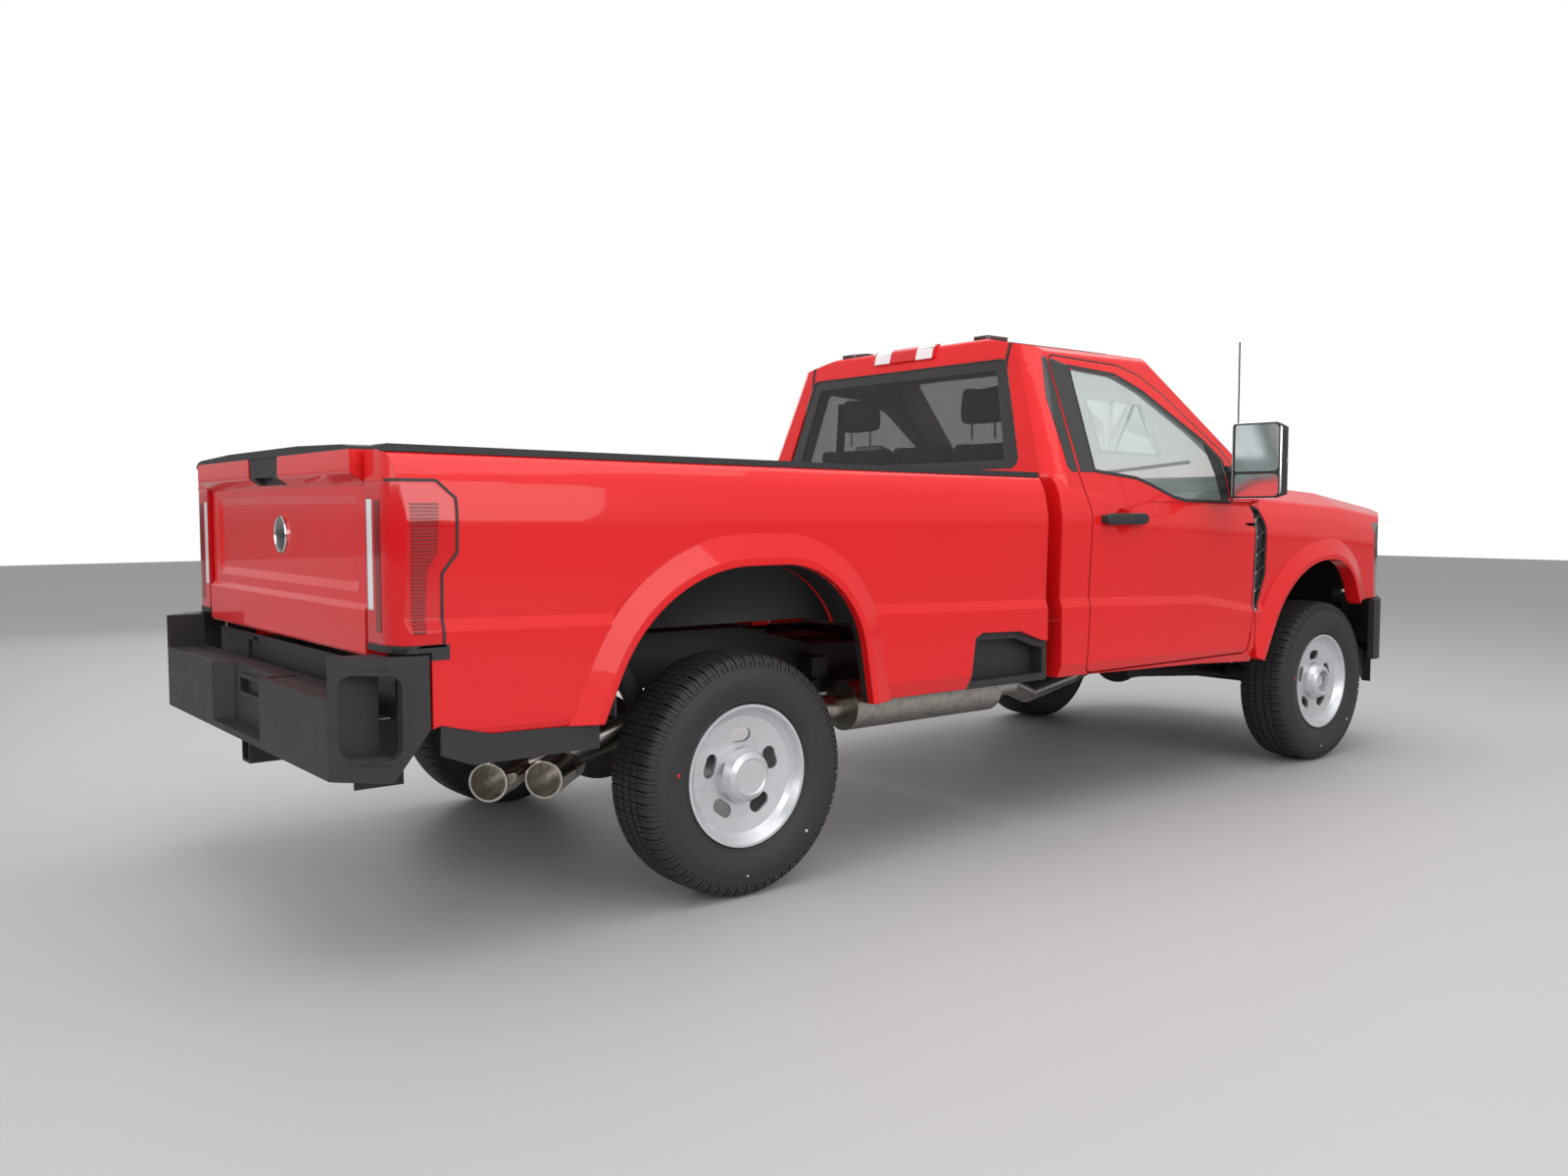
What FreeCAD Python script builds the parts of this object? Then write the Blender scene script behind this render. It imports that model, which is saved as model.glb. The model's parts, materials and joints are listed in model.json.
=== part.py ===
# Heavy-duty pickup truck: regular cab, eight-foot box, four driven wheels.
# +X points forward, +Y to the driver's left and +Z up. The origin lies on the ground,
# midway between the bumpers' outermost points. Lengths are millimetres.
import FreeCAD, Part
import math
import os

import Sketcher

document = FreeCAD.newDocument("PickupTruck")
sheet = document.addObject("Spreadsheet::Sheet", "Sizes")

# Driving dimensions of the whole vehicle
VEHICLE = {
    "wheelbase": 3597, "front_overhang": 970, "rear_overhang": 1321, "body_width": 2032,
    "shoulder_height": 1430, "overall_height": 2057, "panel_gap": 7, "cut_overrun": 400,
    "seat_clearance": 0.3, "pin_clearance": 0.05,
}

# Wheels, tyres and what carries them
WHEELS = {
    "front_wheel_inset": 148.5, "rear_wheel_inset": 162.5, "kingpin_inset": 152.5,
    "tyre_diameter": 799, "tyre_width": 248, "tread_width": 214, "tread_crown": 8,
    "shoulder_depth": 26, "bead_diameter": 436, "bead_width": 190, "tyre_wall": 14,
    "rim_flange_diameter": 467, "rim_flange_width": 12, "rim_wall": 9, "rim_drop": 30,
    "rim_well_width": 70, "wheel_face_depth": 22, "wheel_disc_diameter": 385,
    "hub_face_diameter": 190, "hub_face_setback": 58, "hub_barrel_length": 96,
    "front_cap_height": 66, "rear_cap_height": 74, "slot_length": 80, "slot_width": 46,
    "slot_pitch_diameter": 256, "slot_count": 5, "spindle_diameter": 70, "kingpin_diameter": 32,
    "knuckle_height": 150, "knuckle_thickness": 60, "knuckle_length": 120, "yoke_plate": 24,
    "yoke_gap": 2, "steering_arm_reach": 190, "steering_arm_drop": 62, "steering_arm_width": 40,
    "steering_arm_thickness": 28, "tie_rod_diameter": 34, "tie_rod_eye_diameter": 52,
    "tie_rod_pin_diameter": 18, "axle_tube_diameter": 92, "front_differential_diameter": 270,
    "rear_differential_diameter": 330, "front_differential_offset": 260,
    "radius_arm_diameter": 52, "radius_arm_length": 860, "radius_arm_drop": 40,
}

# Body shell, doors and glass
BODY = {
    "skin_depth": 40, "door_skin_depth": 32, "door_depth": 130, "door_flange": 34,
    "corner_spread": 3, "cab_rear_radius": 110, "cab_front_radius": 70,
    "bed_skin_wall": 44, "bedside_thickness": 166.5, "bed_depth": 536, "bed_floor_thickness": 24,
    "bed_sill_depth": 38, "bed_sill_width": 70, "bed_front_wall": 66, "wheelhouse_width": 203,
    "wheelhouse_length": 980, "wheelhouse_height": 262, "wheelhouse_wall": 8,
    "wheelhouse_radius": 160, "cab_wall": 60, "cab_floor_top": 775, "cab_floor_thickness": 34,
    "glass_thickness": 6, "glass_setback": 8, "rear_arch_height": 1085, "front_arch_height": 1012,
    "flare_reach": 12, "flare_width": 100, "flare_bevel": 76, "hood_side_setback": 227,
    "hood_depth": 34, "hood_front_setback": 199, "hood_hinge_drop": 60, "hood_hinge_setback": 18,
    "hood_pin_reach": 28, "hood_pin_diameter": 12, "hood_lowest": 1150,
    "tailgate_thickness": 62, "tailgate_side_setback": 222, "tailgate_setback": 138,
    "tailgate_floor_gap": 10, "gate_seal": 12, "gate_hinge_half": 600, "gate_hinge_width": 50,
    "gate_knuckle_diameter": 32, "gate_pin_diameter": 16, "gate_hinge_setback": 36,
    "gate_hinge_drop": 26, "gate_ridge_height": 130, "gate_ridge_rise": 14,
    "gate_panel_setback": 14, "gate_lip_height": 96, "gate_lip_reach": 34, "gate_recess_depth": 9,
    "gate_recess_slope": 26, "gate_cap_rise": 24, "gate_handle_half": 175, "gate_handle_taper": 26,
    "gate_handle_setback": 4, "finger_pocket_half": 95, "finger_pocket_height": 34,
    "tail_lamp_depth": 56, "tail_lamp_gap": 18, "reverse_lens_width": 40, "reverse_lens_depth": 14,
    "rail_cap_height": 10, "rail_cap_width": 90, "valance_setback": 14, "valance_thickness": 10,
    "step_depth": 120, "step_wall": 28, "step_face_setback": 34, "door_hinge_setback": 68,
    "hinge_inset": 26, "door_pin_diameter": 8, "door_knuckle_diameter": 14,
    "hinge_leaf_thickness": 16, "hinge_leaf_height": 60, "hinge_low": 700, "hinge_high": 1130,
    "dish_radius": 120, "dish_depth": 17,
    "door_inner_gap": 14, "hinge_pocket": 84, "hinge_pillar_depth": 210, "rocker_width": 120,
    "window_corner": 40, "fender_front_setback": 154, "fender_tab_length": 140,
    "fender_tab_low": 1020, "fender_tab_height": 160, "vent_face_setback": 4, "vent_bed_depth": 18,
    "vent_bed_thickness": 10, "vent_fin_height": 12, "cowl_low": 1330, "cowl_height": 40,
    "cowl_gap": 20,
}

# Running gear, bumpers and fittings
CHASSIS = {
    "rail_outer_half": 475, "rail_width": 75, "rail_height": 190, "rail_web": 10,
    "rail_mid_bottom": 505, "crossmember_size": 70, "cab_mount_diameter": 90,
    "receiver_inner": 63.5, "receiver_wall": 8, "receiver_length": 330, "receiver_height": 500,
    "receiver_tube_size": 76, "hitch_pin_diameter": 16, "hitch_pin_setback": 64,
    "receiver_setback": 30, "engine_length": 900, "engine_width": 620, "engine_height": 640,
    "engine_bottom": 560, "gearbox_length": 900, "gearbox_width": 300, "gearbox_height": 290,
    "gearbox_bottom": 430, "shaft_rise": 100, "engine_mount_height": 50, "driveshaft_diameter": 90,
    "front_driveshaft_diameter": 64, "tank_length": 880, "tank_width": 310, "tank_height": 230,
    "tank_bottom": 470, "tank_front": 260, "tank_corner": 45, "spring_width": 76,
    "spring_thickness": 60, "spring_half_length": 640, "spring_arch": 110, "spring_gap": 12,
    "coil_diameter": 130, "coil_height": 230, "exhaust_diameter": 89, "exhaust_tip_diameter": 114,
    "exhaust_tip_length": 270, "exhaust_tip_depth": 150, "exhaust_tip_bore": 104,
    "silencer_diameter": 190, "spare_diameter": 780, "spare_width": 240, "spare_drop": 0.3,
    "spare_setback": 850, "radiator_depth": 120,
}

# Bumpers, lamps, mirrors and the cab's fittings
FITTINGS = {
    "rear_bumper_top": 877, "rear_bumper_bottom": 545, "rear_bumper_pad_top": 762,
    "rear_bumper_side_bottom": 676, "rear_bumper_corner_inset": 139, "rear_bumper_wrap": 232,
    "corner_step_inset": 119, "corner_step_low": 606, "corner_step_high": 830,
    "corner_step_radius": 34, "plate_recess_depth": 60, "plate_recess_half": 262,
    "plate_recess_taper": 40, "plate_recess_floor": 567, "socket_half": 118, "socket_low": 664,
    "socket_height": 70, "socket_rim": 12, "pad_tray_depth": 4, "pad_tray_border": 14,
    "front_bumper_top": 790, "front_bumper_bottom": 480, "front_bumper_reach": 437,
    "bumper_wall": 30, "air_dam_reach": 500, "air_dam_bottom": 355, "grille_side_setback": 364,
    "grille_top": 1235, "grille_bottom": 800, "grille_depth": 70, "grille_front_setback": 60,
    "grille_bar_height": 46, "grille_corner": 60, "grille_rib_width": 10, "antenna_diameter": 7,
    "antenna_foot_drop": 130, "seat_side_setback": 294, "seat_depth": 520,
    "seat_cushion_height": 150, "seat_back_height": 560, "seat_back_depth": 130,
    "seat_corner": 42, "seat_base_height": 100, "seat_lean": 110, "seat_rear": 150,
    "restraint_width": 270, "restraint_height": 190, "restraint_depth": 90,
    "restraint_post_diameter": 12, "restraint_gap": 40, "restraint_spacing": 400,
    "steering_wheel_diameter": 390, "steering_rim_diameter": 30, "steering_wheel_reach": 150,
    "steering_rake": 0.45, "dash_crown": 40, "dash_depth": 330, "dash_face": 230,
    "mirror_overall_width": 2690, "mirror_width": 230, "mirror_height": 330, "mirror_depth": 130,
    "mirror_arm_diameter": 34, "mirror_bottom": 1305, "mirror_corner": 46, "mirror_glass_rim": 12,
    "mirror_glass_depth": 6, "mirror_sail_rise": 12, "marker_lamp_length": 150,
    "marker_lamp_width": 100, "marker_lamp_corner": 20, "marker_lamp_rise": 17, "stop_lamp_half": 197,
    "stop_lamp_rise": 9,
    "stop_lamp_low": 1936, "stop_lamp_depth": 62,
}

SIZES = {**VEHICLE, **WHEELS, **BODY, **CHASSIS, **FITTINGS}
for row, (alias, number) in enumerate(SIZES.items(), 1):
    sheet.set(f"A{row}", alias)
    sheet.set(f"B{row}", str(number))
    sheet.setAlias(f"B{row}", alias)
document.recompute()


class Length(float):
    """A size in millimetres that remembers the sheet expression it comes from."""

    def __new__(cls, value, text=None):
        length = float.__new__(cls, value)
        length.text = text or str(value)
        return length

    def joined(self, value, sign, first, second):
        parts = [part.text if isinstance(part, Length) else str(part) for part in (first, second)]
        return Length(value, f"({parts[0]} {sign} {parts[1]})")

    def __add__(self, other):
        return self.joined(float(self) + float(other), "+", self, other)

    def __radd__(self, other):
        return self.joined(float(other) + float(self), "+", other, self)

    def __sub__(self, other):
        return self.joined(float(self) - float(other), "-", self, other)

    def __rsub__(self, other):
        return self.joined(float(other) - float(self), "-", other, self)

    def __mul__(self, other):
        return self.joined(float(self) * float(other), "*", self, other)

    def __rmul__(self, other):
        return self.joined(float(other) * float(self), "*", other, self)

    def __truediv__(self, other):
        return self.joined(float(self) / float(other), "/", self, other)

    def __neg__(self):
        return self.joined(-float(self), "*", -1, self)


class Sizes:
    """Reads each named size from the spreadsheet."""

    def __getattr__(self, alias):
        return Length(float(sheet.get(alias)), f"Sizes.{alias}")


size = Sizes()
vector = FreeCAD.Vector
ALONG_X, ALONG_Y, ALONG_Z = vector(1, 0, 0), vector(0, 1, 0), vector(0, 0, 1)
ORIGIN = vector(0, 0, 0)

# Places and widths that follow from the driving dimensions
half_length = (size.front_overhang + size.wheelbase + size.rear_overhang) / 2
overall_length = half_length * 2
front_axle_x = half_length - size.front_overhang
rear_axle_x = front_axle_x - size.wheelbase
wheel_height = size.tyre_diameter / 2
side_half_width = size.body_width / 2 - size.flare_reach
front_track = size.body_width - size.front_wheel_inset * 2
rear_track = size.body_width - size.rear_wheel_inset * 2
kingpin_track = front_track - size.kingpin_inset * 2

# Panel edges along the body, each a share of half the length
bed_front_edge = half_length * 0.0591
cab_rear_edge = half_length * 0.0299
cab_front_edge = half_length * 0.42459
door_rear = half_length * 0.03125
door_front = half_length * 0.44565
hood_rear_edge = half_length * 0.49864
mirror_x = half_length * 0.3057
mirror_root_x = half_length * 0.4008
antenna_x = half_length * 0.4857
tailgate_rear = half_length - size.tailgate_setback
hood_front_edge = half_length - size.hood_front_setback
fender_front_edge = half_length - size.fender_front_setback
rear_bumper_wrap_front = half_length - size.rear_bumper_wrap

# Panel edges across the body and in height
hood_half_width = side_half_width - size.hood_side_setback
tailgate_half_width = side_half_width - size.tailgate_side_setback
tail_lamp_inner_half = tailgate_half_width + size.tail_lamp_gap
grille_half_width = side_half_width - size.grille_side_setback
seat_half_width = side_half_width - size.seat_side_setback
bed_inside_half = size.body_width / 2 - size.bedside_thickness
wheelhouse_half_gap = bed_inside_half - size.wheelhouse_width
hood_hinge_height = size.shoulder_height - size.hood_hinge_drop
rail_top = size.rail_mid_bottom + size.rail_height
bed_floor_top = size.shoulder_height - size.bed_depth - size.seat_clearance
bed_floor_bottom = bed_floor_top - size.bed_floor_thickness
bed_rear = -tailgate_rear + size.tailgate_thickness + size.gate_seal
bed_inside_length = -bed_front_edge - size.bed_front_wall - bed_rear


# Outlines and simple solids

def rounded_wire(points, radii, place):
    """A closed wire through the points, each corner rounded by its own radius."""
    corners = []
    for index, (point, radius) in enumerate(zip(points, radii)):
        here = vector(*point, 0)
        back = vector(*points[index - 1], 0) - here
        ahead = vector(*points[(index + 1) % len(points)], 0) - here
        if radius == 0:
            corners.append((here, None, here))
            continue
        back.normalize()
        ahead.normalize()
        half_angle = back.getAngle(ahead) / 2
        reach = radius / math.tan(half_angle)
        inward = back + ahead
        inward.normalize()
        middle = here + inward * (radius / math.sin(half_angle) - radius)
        corners.append((here + back * reach, middle, here + ahead * reach))
    edges = []
    for index, (start, middle, end) in enumerate(corners):
        if middle:
            edges.append(Part.Arc(place(start), place(middle), place(end)).toShape())
        following = corners[(index + 1) % len(corners)][0]
        if not end.isEqual(following, size.pin_clearance):
            edges.append(Part.makeLine(place(end), place(following)))
    return Part.Wire(edges)


def placed(axis, level):
    """Maps a flat point to the plane across an axis at a level along it."""
    if axis == "x":
        return lambda point: vector(level, point.x, point.y)
    if axis == "y":
        return lambda point: vector(point.x, level, point.y)
    return lambda point: vector(point.x, point.y, level)


AXES = {"x": ALONG_X, "y": ALONG_Y, "z": ALONG_Z}


def prism(axis, low, high, points, radii=None):
    """An outline across an axis, carried along it from low to high."""
    wire = rounded_wire(points, radii or [0] * len(points), placed(axis, low))
    return Part.Face(wire).extrude(AXES[axis] * float(high - low))


def block(low_x, high_x, low_y, high_y, low_z, high_z):
    """A rectangular block between its limits."""
    corner = vector(low_x, low_y, low_z)
    return Part.makeBox(high_x - low_x, high_y - low_y, high_z - low_z, corner)


def rod(start, end, diameter):
    """A round bar between two points."""
    along = end - start
    return Part.makeCylinder(diameter / 2, along.Length, start, along)


def mirrored(shape):
    """The same shape on the other side of the vehicle."""
    return shape.mirror(ORIGIN, ALONG_Y)


def joined(shapes):
    """Pieces that are made as one, with the seams between them removed."""
    whole = shapes[0].multiFuse(shapes[1:]) if len(shapes) > 1 else shapes[0]
    return whole.removeSplitter()


def add_piece(name, shape):
    """Puts one finished shape into the document under its own name."""
    piece = document.addObject("Part::Feature", name)
    piece.Label = name
    piece.Shape = shape
    return piece


# The body's outer form below the windows. Each row of heights belongs to one station
# along the body and runs from the sill, over both side creases and the shoulder, to the
# middle of the bonnet. Stations are shares of half the length, widths are shares of the
# side's half width and heights are shares of the shoulder height.
STATION_SHARES = (-0.97, 0.02, 0.306, 0.442, 0.747, 0.97)
WIDTH_SHARES = (0.969, 0.99, 0.99, 0.978, 0.988, 0.968, 0.936, 0.78, 0.0)
HEIGHT_SHARES = (
    (0.420, 0.467, 0.659, 0.682, 0.874, 0.951, 0.996, 1.000, 1.000),
    (0.413, 0.448, 0.608, 0.633, 0.860, 0.930, 0.972, 0.976, 0.976),
    (0.399, 0.438, 0.589, 0.615, 0.832, 0.895, 0.960, 0.976, 0.990),
    (0.385, 0.432, 0.544, 0.570, 0.818, 0.874, 0.920, 0.976, 1.010),
    (0.378, 0.420, 0.533, 0.559, 0.783, 0.839, 0.885, 0.940, 0.976),
    (0.378, 0.420, 0.528, 0.552, 0.741, 0.790, 0.832, 0.878, 0.916),
)
# How round each of those points is: shares of the shoulder height
SECTION_RADIUS_SHARES = (0, 0, 0, 0, 0.2, 0.12, 0.028, 0, 0)
# The plan of the body's corners: shares of half the length and of half the width
NOSE_PLAN_SHARES = ((0.825, -1.0), (0.965, -0.80), (0.987, 0.0))
NOSE_RADIUS_SHARES = (0.3, 0.05)
TAIL_RADIUS_SHARE = 0.11


def body_block(inset):
    """The body's solid form below the windows, drawn in by an inset."""
    wires = []
    for station_share, height_shares in zip(STATION_SHARES, HEIGHT_SHARES):
        level = half_length * station_share
        right = []
        for width_share, height_share in zip(WIDTH_SHARES, height_shares):
            side = (side_half_width * width_share - inset) if width_share else 0
            lid = inset if height_share == max(height_shares) or width_share < WIDTH_SHARES[-2] else 0
            right.append((-side, size.shoulder_height * height_share - lid))
        left = [(-side, height) for side, height in reversed(right[:-1])]
        radii = [size.shoulder_height * share for share in SECTION_RADIUS_SHARES]
        wires.append(rounded_wire(right + left, radii + radii[-2::-1], placed("x", level)))
    return Part.makeLoft(wires, True, True).common(plan_block(inset))


def plan_block(inset):
    """The body's outline seen from above, drawn in by an inset, as a tall block."""
    half_width = size.body_width / 2
    nose = [(half_length * along - inset, half_width * across + (inset if across else 0))
            for along, across in NOSE_PLAN_SHARES]
    radii = [half_length * share for share in NOSE_RADIUS_SHARES]
    tail = -tailgate_rear
    right = [(tail, -half_width + inset)] + nose
    right_radii = [side_half_width * TAIL_RADIUS_SHARE, radii[0], radii[1] , 0]
    left = [(along, -across) for along, across in reversed(right[:-1])]
    points = right + left
    return prism("z", 0, size.shoulder_height * 2, points, right_radii + right_radii[-2::-1])


# The cabin above the shoulder: its side outline and its half section. Lengths along the
# cab are shares of half the length, widths shares of the side's half width, heights
# shares of the shoulder height.
CABIN_FOOT_SHARE = 0.905
CABIN_SIDE_SHARES = ((-0.030, 0.5), (-0.030, 0.979), (-0.003, 1.335), (0.004, 1.392), (0.122, 1.424),
                     (0.205, 1.412), (0.262, 1.365), (0.476, 0.985), (0.476, 0.5))
CABIN_SIDE_RADIUS_SHARES = (0, 0.04, 0.02, 0.02, 0.2, 0.06, 0.02, 0.01, 0)
CABIN_SECTION_SHARES = ((-0.985, 0.5), (-0.972, 0.903), (-0.944, 0.990), (-0.752, 1.352), (-0.42, 1.402),
                        (0.0, 1.424))
CABIN_SECTION_RADIUS_SHARES = (0, 0, 0.1, 0.055, 0.3, 0)


def cabin_block(inset):
    """The cab's solid form above the shoulder, drawn in by an inset."""
    side = [(half_length * along, size.shoulder_height * up) for along, up in CABIN_SIDE_SHARES]
    side_radii = [size.shoulder_height * share for share in CABIN_SIDE_RADIUS_SHARES]
    half = [(side_half_width * across, size.shoulder_height * up) for across, up in CABIN_SECTION_SHARES]
    section = half + [(-across, up) for across, up in reversed(half[:-1])]
    half_radii = [side_half_width * share for share in CABIN_SECTION_RADIUS_SHARES]
    section_radii = half_radii + half_radii[-2::-1]
    side_wire = rounded_wire(side, side_radii, placed("y", -size.body_width))
    section_wire = rounded_wire(section, section_radii, placed("x", -half_length))
    if inset:
        side_wire = side_wire.makeOffset2D(-inset)
        section_wire = section_wire.makeOffset2D(-inset)
    across = Part.Face(side_wire).extrude(ALONG_Y * float(size.body_width * 2))
    along = Part.Face(section_wire).extrude(ALONG_X * float(overall_length))
    foot = size.shoulder_height * CABIN_FOOT_SHARE
    above_foot = block(-half_length, half_length, -size.body_width, size.body_width, foot, overall_length)
    return across.common(along).common(above_foot).common(corner_loft(inset))


# The rounded corners of the cabin seen from above, at four heights: shares of the
# shoulder height, of half the length at the rear and the front, and of the half width
CORNER_SHARES = ((0.88, -0.030, 0.476, 0.984), (0.982, -0.030, 0.476, 0.950),
                 (1.352, -0.002, 0.269, 0.752), (1.46, 0.0062, 0.208, 0.694))


def corner_loft(inset):
    """A tapering block just outside the cabin's flanks whose four corners are rounded."""
    spread = size.corner_spread - inset
    rear_radius, front_radius = size.cab_rear_radius - inset, size.cab_front_radius - inset
    wires = []
    for level, rear_share, front_share, half_share in CORNER_SHARES:
        rear = half_length * rear_share - spread
        front = half_length * front_share + spread
        half = side_half_width * half_share + spread
        corners = [(rear, -half), (front, -half), (front, half), (rear, half)]
        radii = [rear_radius, front_radius, front_radius, rear_radius]
        wires.append(rounded_wire(corners, radii, placed("z", size.shoulder_height * level)))
    return Part.makeLoft(wires, True, True)


def side_points(shares):
    """Side outline points given along the door's length and up to the shoulder's height."""
    length = door_front - door_rear
    return [(door_rear + length * along, size.shoulder_height * up) for along, up in shares]


DOOR_SHARES = ((-0.014, 0.418), (0.003, 0.608), (0.013, 0.874), (-0.023, 0.993), (-0.015, 1.329),
               (0.367, 1.318), (0.473, 1.294), (0.584, 1.243), (0.866, 1.064), (0.984, 0.930),
               (1.0, 0.867), (0.990, 0.545), (0.949, 0.420))
DOOR_RADIUS_SHARES = (0.03, 0, 0.05, 0.04, 0.03, 0.2, 0.1, 0, 0.1, 0.05, 0.05, 0.05, 0.03)
WINDOW_SHARES = ((0.068, 0.997), (0.089, 1.297), (0.334, 1.285), (0.468, 1.242), (0.761, 1.095),
                 (0.843, 1.035), (0.851, 0.909), (0.564, 0.913), (0.493, 0.923), (0.379, 0.957),
                 (0.291, 0.979))
WINDOW_RADIUS_SHARES = (0.01, 0.02, 0.2, 0.1, 0.1, 0.02, 0.02, 0.05, 0.05, 0.05, 0.05)
REAR_ARCH_SHARES = ((-0.65, 0.3), (-0.338, 1.0), (0.385, 1.0), (0.505, 0.3))
REAR_ARCH_RADIUS_SHARES = (0, 0.488, 0.332, 0)
FRONT_ARCH_SHARES = ((-0.73, 0.3), (-0.348, 1.0), (0.183, 1.0), (0.51, 0.3))
FRONT_ARCH_RADIUS_SHARES = (0, 0.553, 0.257, 0)


def side_outline(shares, radius_shares, level, grow=0):
    """The wire of a door or window outline at one level across the vehicle."""
    radii = [size.shoulder_height * share for share in radius_shares]
    wire = rounded_wire(side_points(shares), radii, placed("y", level))
    return wire.makeOffset2D(grow) if grow else wire


def right_side_prism(wire):
    """A wire on the right side's outermost plane carried in to the middle plane."""
    return Part.Face(wire).extrude(ALONG_Y * float(size.body_width))


def arch_wire(axle_x, height, shares, radius_shares, level, grow=0):
    """A wheel arch's outline about its axle."""
    points = [(axle_x + height * along, height * up) for along, up in shares]
    wire = rounded_wire(points, [height * share for share in radius_shares], placed("y", level))
    return wire.makeOffset2D(grow) if grow else wire


def rear_arch(level, grow=0):
    return arch_wire(rear_axle_x, size.rear_arch_height, REAR_ARCH_SHARES,
                     REAR_ARCH_RADIUS_SHARES, level, grow)


def front_arch(level, grow=0):
    return arch_wire(front_axle_x, size.front_arch_height, FRONT_ARCH_SHARES,
                     FRONT_ARCH_RADIUS_SHARES, level, grow)


def flare(arch):
    """The raised lip round a wheel arch on the right side."""
    root = -side_half_width + size.bed_skin_wall
    foot = -side_half_width + size.flare_reach
    crest = -size.body_width / 2
    rim = Part.makeLoft([arch(foot, size.flare_width), arch(crest, size.flare_width - size.flare_bevel)],
                        True, True)
    band = Part.Face(arch(root, size.flare_width)).extrude(ALONG_Y * float(foot - root))
    return rim.fuse(band)


outer_body = body_block(0)
outer_cabin = cabin_block(0)
far = size.cut_overrun
outside = -size.body_width / 2 - far
door_recess_depth = size.door_skin_depth + size.panel_gap
hinge_x = door_front - size.door_hinge_setback
hinge_y = side_half_width - size.hinge_inset
hood_hinge_x = hood_rear_edge + size.hood_hinge_setback


# The box: floor, front wall and wheelhouses in one pressing, with the bedsides beside it

def wheelhouse(grow):
    """The right rear wheelhouse's outline as a solid, grown by a wall."""
    half = size.wheelhouse_length / 2 + grow
    low = bed_floor_bottom
    top = bed_floor_top + size.wheelhouse_height + grow
    points = [(rear_axle_x - half, low), (rear_axle_x - half, top), (rear_axle_x + half, top),
              (rear_axle_x + half, low)]
    radius = size.wheelhouse_radius + grow
    inner = -wheelhouse_half_gap + grow
    return prism("y", -bed_inside_half, inner, points, [0, radius, radius, 0])


def bed_shell():
    floor = block(bed_rear, -bed_front_edge, -bed_inside_half, bed_inside_half,
                  bed_floor_bottom, bed_floor_top)
    wall_top = size.shoulder_height * HEIGHT_SHARES[1][-1] - size.panel_gap
    wall = block(-bed_front_edge - size.bed_front_wall, -bed_front_edge,
                 -bed_inside_half, bed_inside_half, bed_floor_bottom, wall_top)
    sill_low = bed_floor_bottom - size.bed_sill_depth
    sills = []
    for share in BED_SILL_SHARES:
        start = bed_rear + bed_inside_length * share
        sills.append(block(start, start + size.bed_sill_width, -size.rail_outer_half,
                           size.rail_outer_half, sill_low, bed_floor_bottom))
    house = wheelhouse(0)
    hollow = wheelhouse(-size.wheelhouse_wall)
    lugs = [gate_lug(size.gate_hinge_half * side) for side in (-1, 1)]
    pressing = joined([floor, wall, house, mirrored(house)] + sills + lugs)
    return pressing.cut(hollow).cut(mirrored(hollow))


BED_SILL_SHARES = (0.02, 0.24, 0.6, 0.78, 0.95)
BEDSIDE_FOOT_SHARES = ((-0.97, 0.44), (-0.911, 0.478), (-0.862, 0.452), (-0.74, 0.445), (-0.74, 0.2),
                       (-0.97, 0.2))
TAIL_LAMP_SHARES = ((-0.97, 0.632), (-0.908, 0.632), (-0.908, 0.766), (-0.893, 0.805),
                    (-0.893, 0.905), (-0.910, 0.937), (-0.97, 0.937))
STEP_SHARES = ((-0.213, 0.35), (-0.199, 0.548), (-0.186, 0.56), (-0.113, 0.555), (-0.069, 0.525),
               (-0.052, 0.522), (-0.052, 0.35))


def body_points(shares):
    """Points given as shares of half the length and of the shoulder height."""
    return [(half_length * along, size.shoulder_height * up) for along, up in shares]


def tail_lamp_space():
    """The corner block of the right bedside that the lamp fills."""
    region = prism("y", outside, -tail_lamp_inner_half, body_points(TAIL_LAMP_SHARES))
    core = block(-tailgate_rear + size.tail_lamp_depth, 0, -side_half_width + size.tail_lamp_depth,
                 0, 0, size.shoulder_height)
    return region.cut(core)


def bedside():
    """The right bedside: one double wall from the box's inside to the outer skin."""
    front = -bed_front_edge
    slab = outer_body.common(block(-half_length, front, outside, -bed_inside_half, 0,
                                   size.shoulder_height * 2))
    end_post = outer_body.common(block(-half_length, bed_rear, outside, -tail_lamp_inner_half,
                                       bed_floor_bottom, size.shoulder_height * 2))
    under = block(-half_length - far, front + far, -side_half_width + size.bed_skin_wall, 0,
                  0, bed_floor_bottom)
    side = slab.fuse(end_post).fuse(flare(rear_arch).common(outer_floor_band())).cut(under)
    arch = right_side_prism(rear_arch(outside))
    side = side.cut(arch)
    side = side.cut(prism("y", outside, 0, body_points(BEDSIDE_FOOT_SHARES)))
    side = side.cut(prism("y", outside, 0, body_points(STEP_SHARES)))
    side = side.cut(block(-half_length, -rear_bumper_wrap_front + size.panel_gap, outside, 0, 0,
                          size.rear_bumper_top + size.panel_gap))
    return side.cut(tail_lamp_space()).removeSplitter()


def outer_floor_band():
    """Everything above the body's lower edge, so that flares stop there."""
    foot = size.shoulder_height * HEIGHT_SHARES[1][0]
    return block(-half_length, half_length, outside, 0, foot, size.shoulder_height)


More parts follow.
